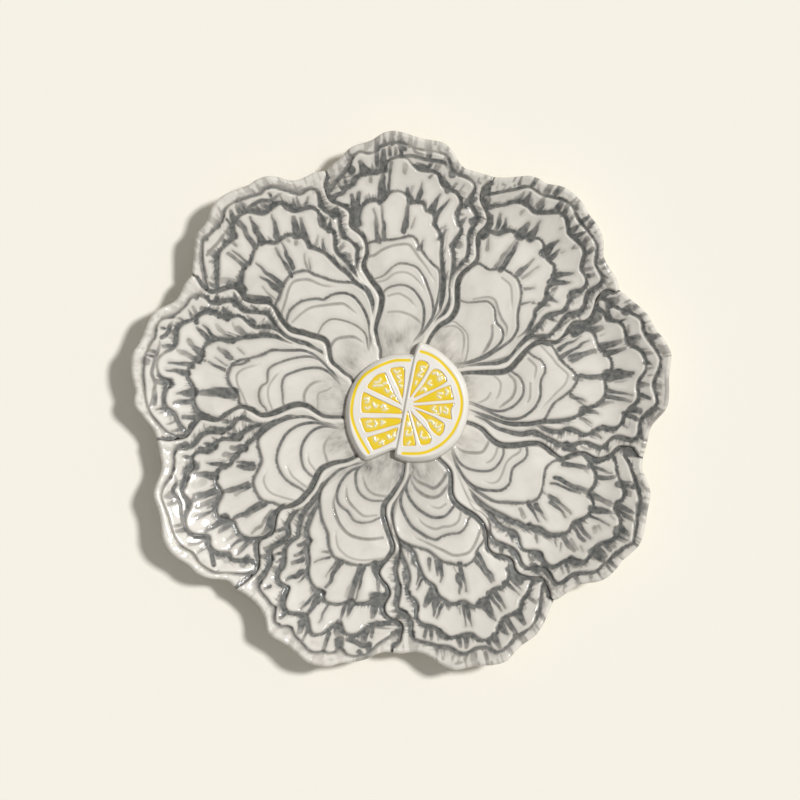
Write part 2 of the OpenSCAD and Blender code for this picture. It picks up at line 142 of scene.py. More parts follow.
# The free edge of each shell, on the clockwise side, from the hinge out to the corner of the rim
hinge_edge = [(0, 0), (2.1, 8), (3.6, 12.5), (4.4, 16), (5.3, 19)]
free_edges = [
    [(8, 21.5), (9, 23), (10.1, 25.4), (11.9, 28.1), (13.8, 30.3), (17.1, 32.4), (18.9, 35), (19.7, 38.1),
     (19.7, 42.5), (19.9, 45.5), (21, 48.2), (23.2, 50.6), (26.5, 53.2), (27.7, 55.3), (27.8, 58),
     (27.6, 61), (27.9, 63.5), (29.3, 65.3), (31, 67), (31.9, 69.5), (31.2, 72.3), (30, 74.8), (29.2, 77),
     (29.4, 79.5), (30.2, 81.8), (32, 83.5)],
    [(7.2, 21.5), (10.3, 25.2), (12, 26.8), (13.8, 28.5), (15.8, 30.3), (17.7, 32), (19.5, 33.8),
     (20.7, 35.7), (21.1, 38), (21.2, 42.5), (21.4, 45.5), (22.1, 49.1), (23, 50.8), (24.3, 52.1),
     (26.5, 53.7), (28.4, 55.4), (29, 58.5), (28.6, 61), (28.5, 64), (29.3, 65.8), (31.5, 67.7), (32.3, 70),
     (31.8, 72.8), (30.7, 75.5), (29.8, 77.5), (29.8, 80.5), (31, 83)],
    [(8.6, 20.8), (10, 23.3), (10.8, 25), (13.1, 28.1), (15.3, 29.6), (17.8, 31.4), (19.7, 33.8),
     (20.4, 36.5), (20.8, 40), (21, 43.5), (21.6, 46.9), (22.5, 48.6), (24, 50.3), (26.9, 52.8),
     (28.6, 54.3), (29.1, 56), (28.4, 58), (28.3, 61), (28.5, 63.5), (29.5, 65.2), (31, 67), (31.8, 69),
     (31.7, 71), (31, 73.5), (29.5, 75.5), (28.8, 77.5), (29.3, 80), (30.5, 82.5)],
    [(9.1, 21), (10.1, 24.1), (10.6, 25.9), (11.4, 27.6), (12.7, 28.9), (15, 30.4), (17.8, 32), (19.5, 33.8),
     (20.4, 36), (20.8, 40), (20.8, 42.5), (21.3, 45.3), (22.2, 47.8), (23.8, 50), (26.5, 52.1), (29.2, 54),
     (30.1, 56.4), (29.8, 58.6), (28.8, 61.3), (28.8, 63.5), (29.5, 65.3), (31, 66.5), (32, 68.5),
     (32, 70.5), (31.3, 73), (30, 75.5), (29.3, 77), (29.5, 79), (30.5, 80.5), (32.5, 83)],
    [(6.1, 20.6), (6.9, 22.4), (7.9, 24.1), (8.8, 25.4), (10.3, 26.8), (12.9, 28.9), (14.7, 30.3),
     (16.4, 31.3), (18, 32.7), (19.2, 35.5), (19.5, 38), (19.8, 42.5), (19.9, 46.9), (20.4, 48.6),
     (21.6, 50.1), (24.1, 51.7), (27, 53.4), (28.9, 55.2), (28.7, 58), (27.8, 60.2), (27.5, 62.5),
     (28, 64.5), (30, 66.2), (31.5, 68), (32, 70), (31.5, 72), (30, 73.7), (28.2, 75), (27.6, 77),
     (28, 78.8), (29.3, 80.5), (30.5, 82.5)],
    [(7.4, 21.2), (9.6, 24.1), (10.9, 25.4), (12.2, 26.5), (14.4, 27.8), (16.4, 29.2), (17.9, 30.7),
     (19, 32), (19.6, 33.8), (19.8, 36), (20.1, 39.4), (20.6, 41.4), (21.4, 43.3), (22.5, 46), (24.7, 48.6),
     (26.5, 49.8), (28.3, 50.9), (29.2, 52.5), (29.3, 55), (28.7, 58), (28.6, 60), (29.1, 61.8),
     (30.5, 63.3), (32, 64.8), (32.4, 66.3), (31.8, 68.3), (30.8, 70.5), (29.7, 73), (29.3, 75),
     (29.8, 77.3), (31, 79.5), (32, 81.5)],
    [(6.9, 21), (8.4, 23.7), (9.5, 25.4), (10.8, 27.1), (12.3, 28.1), (14.3, 29.2), (16.3, 30.2), (18.2, 32),
     (19.2, 34), (19.8, 36.4), (20.1, 39), (20.4, 41.6), (20.9, 43.6), (21.5, 45.3), (22.8, 47.3),
     (25.9, 49.1), (27.4, 50.2), (28.8, 51.5), (29.5, 53.4), (29.5, 56), (29.3, 58.5), (29, 60.7),
     (29.4, 62.5), (30.5, 64.2), (32, 65.8), (33, 67.3), (32.6, 69), (31.8, 71), (30.8, 73), (30, 75),
     (30.3, 77), (31.3, 79.5), (32.3, 82)],
    [(6.9, 20.6), (7.6, 22.4), (8.5, 24.1), (9.4, 25.4), (10.1, 26.8), (10.9, 28.2), (12.5, 29.4),
     (14.7, 30.3), (16.9, 31.1), (18.3, 32.4), (18.8, 34.5), (19, 37.3), (19.4, 40), (19.5, 43),
     (19.8, 45.2), (20.8, 46.9), (22.3, 48.8), (24.1, 50.6), (25.6, 51.7), (27.5, 53.2), (28.6, 55.4),
     (28.2, 58.5), (28, 61), (28.2, 63.5), (29, 65.2), (30.5, 66.5), (31.8, 68), (32.1, 69.5), (31.5, 71.5),
     (30.3, 73.5), (29.3, 76), (29, 77.5), (29.7, 79.5), (31, 81.5)],
    [(7, 21), (7.8, 23.3), (8.7, 25), (9.6, 26.8), (10.6, 28.4), (13.1, 30.5), (16.2, 32.7), (18.6, 34.8),
     (19.8, 36.4), (20.3, 39), (20.5, 42.5), (20.9, 45.5), (21.4, 48.2), (22.1, 49.3), (23.4, 50.4),
     (25.6, 51.6), (27.4, 53.4), (28.6, 55.6), (28.9, 58.5), (28.4, 61), (28, 63), (28.6, 64.5), (30, 65.8),
     (31.2, 67.3), (31.3, 69), (30.7, 71), (29.7, 73), (28.7, 75), (28.7, 77), (29.3, 78.8), (30, 80.5),
     (31.3, 82.5)]]
rim_corner = (34, 84.2)
# The rim of each shell, from the corner at its free edge back to the shell before
rims = [
    [(30, 85.4), (27, 86.3), (24, 87.2), (22, 88.5), (20.5, 90.8), (19, 93.4), (17, 95.5), (15, 96.8),
     (12, 97.5), (8, 98.1), (5, 99), (2, 100), (0, 100.5), (-3, 101), (-6, 100.5), (-8, 99.5), (-10, 98.2),
     (-12, 97.2), (-15, 96.3), (-18, 95.3), (-20, 93.8), (-22.5, 91), (-25, 89)],
    [(33, 85), (30, 86.8), (27, 87.7), (24, 88.7), (21.5, 90), (19.5, 92.3), (17.5, 94.5), (15, 96),
     (12, 97.2), (8, 98), (5, 99), (3, 99.8), (0, 100.2), (-3, 100.3), (-6, 99.8), (-8, 99), (-10, 97.8),
     (-12, 96.8), (-15, 96.4), (-18, 95.2), (-20, 93.5), (-22.5, 91), (-25, 88.7)],
    [(31, 85.6), (28, 87), (25, 88.2), (22.5, 90), (20.5, 92.5), (18.5, 95), (16, 96.6), (12, 97.7),
     (8, 98.3), (4, 99.3), (1, 100.3), (-1.5, 100.8), (-4, 100.3), (-7, 99.3), (-9, 98.3), (-11, 97),
     (-14, 96), (-17, 95), (-19, 93.7), (-21.5, 92), (-23, 90.5), (-25, 89)],
    [(32, 85.7), (29, 87), (26, 88.3), (24, 89.7), (22, 92), (20, 94.5), (17.5, 96.5), (15, 97.5),
     (12, 98.2), (9, 98.5), (6, 99.5), (3, 100.5), (1, 101), (-2, 100.8), (-5, 100), (-8, 99), (-11, 97.8),
     (-14, 96.8), (-17.5, 95.5), (-20, 93.5), (-22, 91), (-24.3, 88.3)],
    [(31, 85.5), (28, 86.2), (25.5, 87), (23, 88.8), (21, 91), (19, 93.8), (17, 96), (15, 97.6), (13, 98.2),
     (10, 98.5), (7, 99), (4, 99.9), (1, 100.8), (-2, 101.2), (-4.5, 101), (-7, 99.8), (-9, 98.7),
     (-11, 97.8), (-14, 97), (-17.5, 96), (-20, 94.3), (-22, 92.8), (-24, 90.5), (-26, 88.5)],
    [(31, 84.6), (28, 85.5), (25, 86.8), (23, 88), (21, 90), (19.5, 92), (18, 94.5), (16, 95.8), (13, 96.4),
     (10, 96.9), (7, 97.8), (4, 99), (1, 100), (-2, 100.2), (-5, 99.8), (-8, 98.8), (-10, 97.3), (-12, 96),
     (-15, 94.7), (-18, 93), (-20, 91.5), (-22, 89.5), (-25, 87.2)],
    [(32, 84.7), (29, 85.8), (26, 86.8), (23.5, 88.5), (21.5, 90.8), (19.5, 93.3), (17, 95.3), (14, 96),
     (11, 96.5), (8, 97.5), (5, 98.8), (2, 100), (-1, 100.4), (-4, 100.2), (-7, 99.3), (-9.5, 98),
     (-12, 96.8), (-15, 96), (-18, 94.3), (-20, 92.3), (-22, 89.5), (-24, 87.3)],
    [(31, 86), (28, 86.9), (25, 87.8), (23, 89.3), (21.5, 91.3), (20, 93.3), (18.5, 95), (16.5, 96.2),
     (14, 97), (11, 97.6), (8, 98.2), (5, 99.2), (3, 100.2), (0, 100.5), (-3, 100.2), (-6, 99.5), (-8, 98.7),
     (-10, 97.8), (-12, 97), (-14, 97.2), (-16.5, 96.7), (-18, 95.5), (-20, 93.3), (-22, 91), (-24, 88.8),
     (-26, 87.3)],
    [(33, 85), (30, 86.5), (27, 87.3), (24, 88.3), (22, 89.8), (20.5, 91.8), (19, 94), (17, 96),
     (14.5, 97.3), (12, 98), (9, 98.3), (6, 99.3), (3, 100.4), (0, 101.2), (-2, 101.3), (-5, 101),
     (-7, 100.2), (-9, 99), (-11, 98), (-13, 97.3), (-16, 97), (-18, 95.9), (-20, 94.3), (-22, 92.3),
     (-24, 90.5), (-26, 88.5)]]
rim_end = (-28.1, 86.35)
# The three frills of each shell, from the covered side round to the hinge, where they run together in
# the same way on all the shells. Each point carries the strength of the wash outside it, in tenths.
bands = [
    [(-30, 74, 8), (-27, 77.5, 9), (-25.6, 79, 10), (-24, 81.5, 8), (-21.5, 84.3, 7), (-19.8, 86.5, 9),
     (-18.6, 89, 7), (-17.8, 91, 5), (-15.5, 92.8, 4), (-12.5, 92.3, 5), (-10, 92.9, 4), (-8.3, 94.2, 7),
     (-5, 95.6, 6), (-2, 96.2, 5), (0.5, 95.8, 8), (3, 95, 3), (6, 93.9, 4), (9, 93.4, 3), (13, 92.8, 3),
     (16, 91.6, 5), (17.2, 89.3, 7), (18, 86.8, 7), (19.5, 85, 6), (22, 84.1, 6), (25, 82.7, 5),
     (26.6, 80.8, 5), (25.8, 78.6, 8), (24.6, 77, 9), (24.2, 75.3, 9), (25.2, 73, 8), (26.7, 70.5, 9),
     (27, 68.6, 10), (25.8, 66.5, 10), (24.6, 64.5, 9), (24, 62, 8), (24.1, 59, 7), (23.5, 55, 8),
     (21.9, 53.4, 8), (20.6, 51.5, 8), (19.4, 49.8, 9), (18.5, 47.5, 8), (18.1, 44, 4), (18.1, 40, 2)],
    [(-30, 73, 8), (-27, 77.5, 9), (-25.2, 79.6, 7), (-23.3, 82, 6), (-21, 84.8, 5), (-18.5, 87.8, 6),
     (-17, 90, 6), (-15.3, 91.4, 5), (-12.5, 91.8, 5), (-10, 92.2, 5), (-7.5, 93.4, 6), (-5, 94.6, 7),
     (-2.5, 95.6, 6), (0, 96, 5), (2, 95.4, 5), (4, 94.3, 6), (6.5, 93.3, 7), (9.5, 92.9, 6),
     (12.5, 92.3, 6), (15, 91.8, 5), (17, 90.6, 6), (18.3, 88.8, 7), (19.5, 86.8, 8), (21, 85.2, 7),
     (23, 84.3, 7), (25.3, 83.4, 8), (26.3, 82.2, 9), (26.3, 80.3, 8), (25.4, 78, 8), (25, 75.8, 10),
     (26, 73.3, 9), (27.2, 71.3, 9), (27.2, 69.3, 9), (26, 67.3, 10), (24.6, 65.3, 8), (24.3, 62.5, 9),
     (24.6, 59.5, 8), (24.3, 55, 8), (22.8, 53.4, 9), (21, 51.7, 9), (19.7, 50.2, 10), (19, 48, 8),
     (18.9, 45, 5), (18.8, 40, 3)],
    [(-30, 74, 8), (-27.5, 77.5, 9), (-25, 79.8, 8), (-24.3, 80.6, 6), (-22.5, 82.3, 6), (-21, 84.5, 6),
     (-19.7, 86.8, 7), (-18, 89.3, 6), (-16.3, 91.2, 5), (-14.5, 91.8, 7), (-12, 91.6, 7), (-10, 92.2, 8),
     (-7.5, 93.2, 9), (-5, 94.5, 7), (-2.5, 95.5, 6), (-0.5, 96, 6), (1.5, 95.5, 6), (3.5, 94.5, 7),
     (5.3, 93.2, 9), (7, 92.2, 9), (9, 91.8, 8), (11, 91.9, 6), (13, 92.2, 6), (15, 91.9, 6), (16, 90.8, 8),
     (17, 89, 10), (18.3, 87, 9), (19.7, 85.3, 8), (22, 84.3, 7), (24.5, 83.6, 8), (26, 82.5, 8),
     (26.3, 80.5, 8), (25.2, 78.5, 8), (24.4, 76.2, 8), (24.6, 74.2, 7), (26, 72, 7), (27.2, 70.5, 9),
     (27, 68.7, 9), (25.8, 66.7, 8), (24.7, 64.8, 7), (24.2, 62, 7), (24.4, 59, 7), (23.4, 55, 9),
     (22.3, 53.4, 9), (21, 51.7, 9), (19.9, 50, 10), (18.3, 48.2, 10), (17.2, 46.4, 10), (17, 44, 10),
     (17.1, 42, 9), (16.4, 39.4, 8), (15.5, 37.3, 7), (14.6, 35.5, 7), (13.8, 33.8, 6), (12.2, 32, 6),
     (10, 29.8, 5), (8.7, 27.6, 4)],
    [(-30, 74, 8), (-27, 78, 9), (-24.8, 79.8, 8), (-23.3, 82.5, 7), (-21.5, 84.6, 6), (-19.5, 86.8, 7),
     (-17.5, 88.7, 8), (-16, 90.3, 9), (-14.3, 92, 9), (-12.5, 93, 9), (-10, 93.6, 9), (-8, 94.6, 8),
     (-5.5, 95.6, 8), (-3, 96.6, 7), (-1, 97.4, 6), (1, 98, 6), (2.2, 97.2, 7), (4, 96, 7), (6, 95, 8),
     (8.5, 94, 8), (11, 93.6, 6), (13.5, 92.6, 6), (16, 92, 6), (17.8, 90.5, 8), (19.2, 88.3, 9),
     (20.5, 86.3, 9), (22.3, 84.5, 8), (24.5, 83.6, 7), (26.5, 82.8, 7), (27.5, 81.4, 8), (26.8, 79.2, 9),
     (25.6, 77, 9), (25.3, 75, 10), (26.2, 73, 10), (27.4, 71, 8), (28.3, 69, 6), (27.6, 67, 6),
     (25.8, 64.8, 9), (24.8, 62.5, 9), (24.7, 60, 8), (25.4, 55, 9), (25, 53.4, 8), (24, 51.7, 7),
     (21.8, 50, 3), (20.3, 48, 0), (19.4, 45, 0), (18.8, 40, 0)],
    [(-30, 75, 8), (-27.5, 78, 9), (-25.5, 80, 9), (-24.3, 82.3, 6), (-23, 84.6, 7), (-21.8, 87, 7),
     (-20, 89.3, 7), (-18.3, 91.2, 5), (-16.5, 92.2, 5), (-14, 92.8, 6), (-11.5, 93.2, 7), (-9.5, 93.7, 7),
     (-7.5, 95, 6), (-5.5, 96, 5), (-3.3, 96.3, 6), (-1.8, 96, 7), (-0.5, 94.7, 7), (1, 93.3, 8),
     (3, 92.6, 8), (5, 92.3, 7), (7, 92.7, 7), (9, 92.8, 7), (11, 91.8, 8), (12.3, 90.2, 8), (13.8, 88.7, 8),
     (16, 87.5, 8), (18, 86.6, 8), (19.7, 85.2, 8), (21.5, 84, 7), (23.5, 82.8, 6), (25, 81.3, 6),
     (24.6, 79, 9), (23.6, 77, 9), (23.3, 75, 10), (24, 72.8, 10), (25.3, 71, 10), (26.3, 70, 9),
     (26.2, 68.5, 8), (25, 66.5, 8), (23.7, 64.3, 8), (23, 62, 8), (22.8, 59, 8), (22.2, 56, 8),
     (21, 54.3, 10), (20, 52.3, 9), (19.1, 50.3, 9), (18.6, 48.3, 7), (18.8, 45, 2), (18.7, 40, 0)],
    [(-28, 77, 8), (-26, 79, 9), (-24.8, 80.8, 8), (-23, 83, 7), (-21.3, 85.3, 7), (-20.3, 87.5, 9),
     (-19, 89.8, 8), (-17, 90.9, 6), (-15, 92, 5), (-12.5, 92.3, 5), (-10.3, 91.5, 8), (-8.8, 91.5, 9),
     (-7.8, 92.8, 7), (-6, 94, 4), (-4, 94.2, 6), (-2, 95.1, 7), (0, 95.7, 7), (2, 95.3, 7), (4, 94.3, 8),
     (6, 93.3, 8), (8, 92.3, 7), (9.3, 91, 8), (10.8, 90.2, 8), (12.3, 90.2, 7), (14.3, 90.9, 6),
     (16.2, 90.2, 6), (17.4, 88.8, 7), (17.8, 86.8, 9), (18.5, 85.2, 9), (20.2, 84.6, 7), (22.3, 83.2, 7),
     (24, 82.3, 8), (25.6, 81.2, 8), (26.6, 79.8, 9), (26.3, 78, 9), (25.6, 76, 9), (25.4, 74, 9),
     (25, 72, 10), (25.2, 70, 10), (26.2, 67.8, 10), (26.5, 66.2, 9), (25.3, 64.5, 9), (23.8, 62.8, 9),
     (22.8, 60.8, 8), (22.3, 58.5, 8), (23.9, 55, 9), (23.8, 53.4, 9), (23.3, 51.3, 9), (22.5, 49.3, 6),
     (21.5, 47.5, 2), (19.8, 44, 0), (18.5, 40, 0)],
    [(-30, 74, 8), (-26.5, 78, 9), (-24.8, 80, 8), (-23.5, 82.2, 7), (-22, 84.5, 4), (-20.5, 86.8, 3),
     (-19, 89.3, 5), (-17.3, 90.7, 6), (-15, 92, 4), (-12.5, 92.9, 4), (-9.8, 93, 7), (-8, 93.4, 6),
     (-6, 94.5, 5), (-4, 95.5, 6), (-2, 96, 2), (1, 96, 2), (4, 95.3, 2), (8, 94.3, 2), (12, 93.6, 2),
     (15, 93, 2), (17, 91.5, 3), (18.3, 89.5, 6), (19.3, 87.5, 8), (20.5, 85.5, 7), (22, 84, 8),
     (24, 82.4, 9), (26, 81.5, 9), (27.2, 80.3, 9), (26.9, 78.5, 8), (25.8, 76.5, 8), (25.2, 74.5, 9),
     (25.5, 72.5, 9), (26.5, 70.3, 9), (26.8, 68.3, 9), (26.2, 66, 9), (25, 64, 9), (24.3, 61.5, 8),
     (24, 58.5, 8), (25.4, 55, 9), (24.6, 53.2, 9), (22.9, 51.6, 6), (21.2, 49.8, 3), (20, 47.5, 0),
     (19.3, 44, 0), (18.7, 40, 0)],
    [(-28, 77, 9), (-26, 79, 9), (-24.8, 80.5, 9), (-24.2, 83, 9), (-22.8, 85.3, 8), (-21, 87.5, 7),
     (-19.3, 89.5, 5), (-17.5, 91, 3), (-15, 92.3, 3), (-12.5, 93.2, 4), (-9.5, 93.9, 6), (-7, 94.6, 7),
     (-4.5, 95.2, 6), (-2, 95.5, 6), (0, 95.9, 7), (2, 95.6, 4), (4.5, 95, 4), (7, 94.2, 6), (9, 93.3, 8),
     (11.5, 93.4, 8), (14, 93.1, 4), (15.8, 92, 6), (16.7, 90.3, 8), (17.8, 88.3, 8), (19.3, 86.7, 7),
     (21, 85.3, 6), (23, 84, 7), (25, 83.2, 8), (26.3, 81.8, 9), (26.7, 80, 9), (26.2, 78, 9), (25, 76.3, 9),
     (24.5, 74.8, 9), (25.2, 72.5, 9), (26.1, 70.5, 9), (26.5, 68.7, 10), (25.8, 66.7, 10), (24.4, 64.9, 9),
     (23.7, 63, 8), (23.9, 60.5, 8), (24.2, 58, 7), (24.1, 55, 9), (22.8, 53.4, 9), (21.5, 52.1, 9),
     (20.1, 50.5, 9), (18.9, 48.3, 7), (17.8, 46, 4), (17, 43, 2), (16.7, 40, 0)],
    [(-30, 75, 8), (-27.5, 78, 9), (-26, 80, 9), (-25, 82, 8), (-23.8, 84.3, 7), (-22.5, 86.3, 8),
     (-21, 88.5, 8), (-19.3, 90.5, 5), (-18, 92, 5), (-16.3, 93.3, 6), (-14, 93.1, 6), (-11.5, 93.3, 7),
     (-9, 93.8, 9), (-7, 93.9, 9), (-5.3, 95.2, 8), (-3.5, 96.3, 6), (-1.5, 96.7, 4), (0.5, 96.5, 4),
     (2.5, 95.8, 7), (4.5, 94.9, 8), (6.5, 94.2, 6), (8.5, 93.3, 8), (10.5, 92.6, 9), (12.5, 92.8, 8),
     (14.3, 92.3, 7), (15.8, 90.8, 8), (17, 89, 9), (18.2, 87.2, 9), (19.3, 85.5, 9), (20.5, 83.8, 10),
     (22, 83, 10), (24, 82.8, 8), (25.5, 82.2, 7), (26.3, 81, 7), (26, 79.3, 8), (25, 77.8, 9), (24, 76, 9),
     (23.8, 74.2, 9), (24.3, 72, 9), (25.2, 70.3, 10), (26.2, 69.3, 10), (26.1, 67.8, 10), (25, 66.2, 9),
     (24, 64.5, 9), (23, 62.5, 9), (22.8, 61.3, 9), (23.8, 59.5, 6), (24.3, 57.5, 6), (24, 55, 9),
     (22.5, 53.4, 9), (21.1, 51.7, 9), (20.1, 50, 6), (19.2, 48, 0), (18.9, 45, 0), (18.4, 40, 0)]]
band_end = [(7.8, 25, 0), (5.9, 21, 0), (4.7, 18.5, 0), (3.9, 16, 0), (3.1, 12.5, 0)]
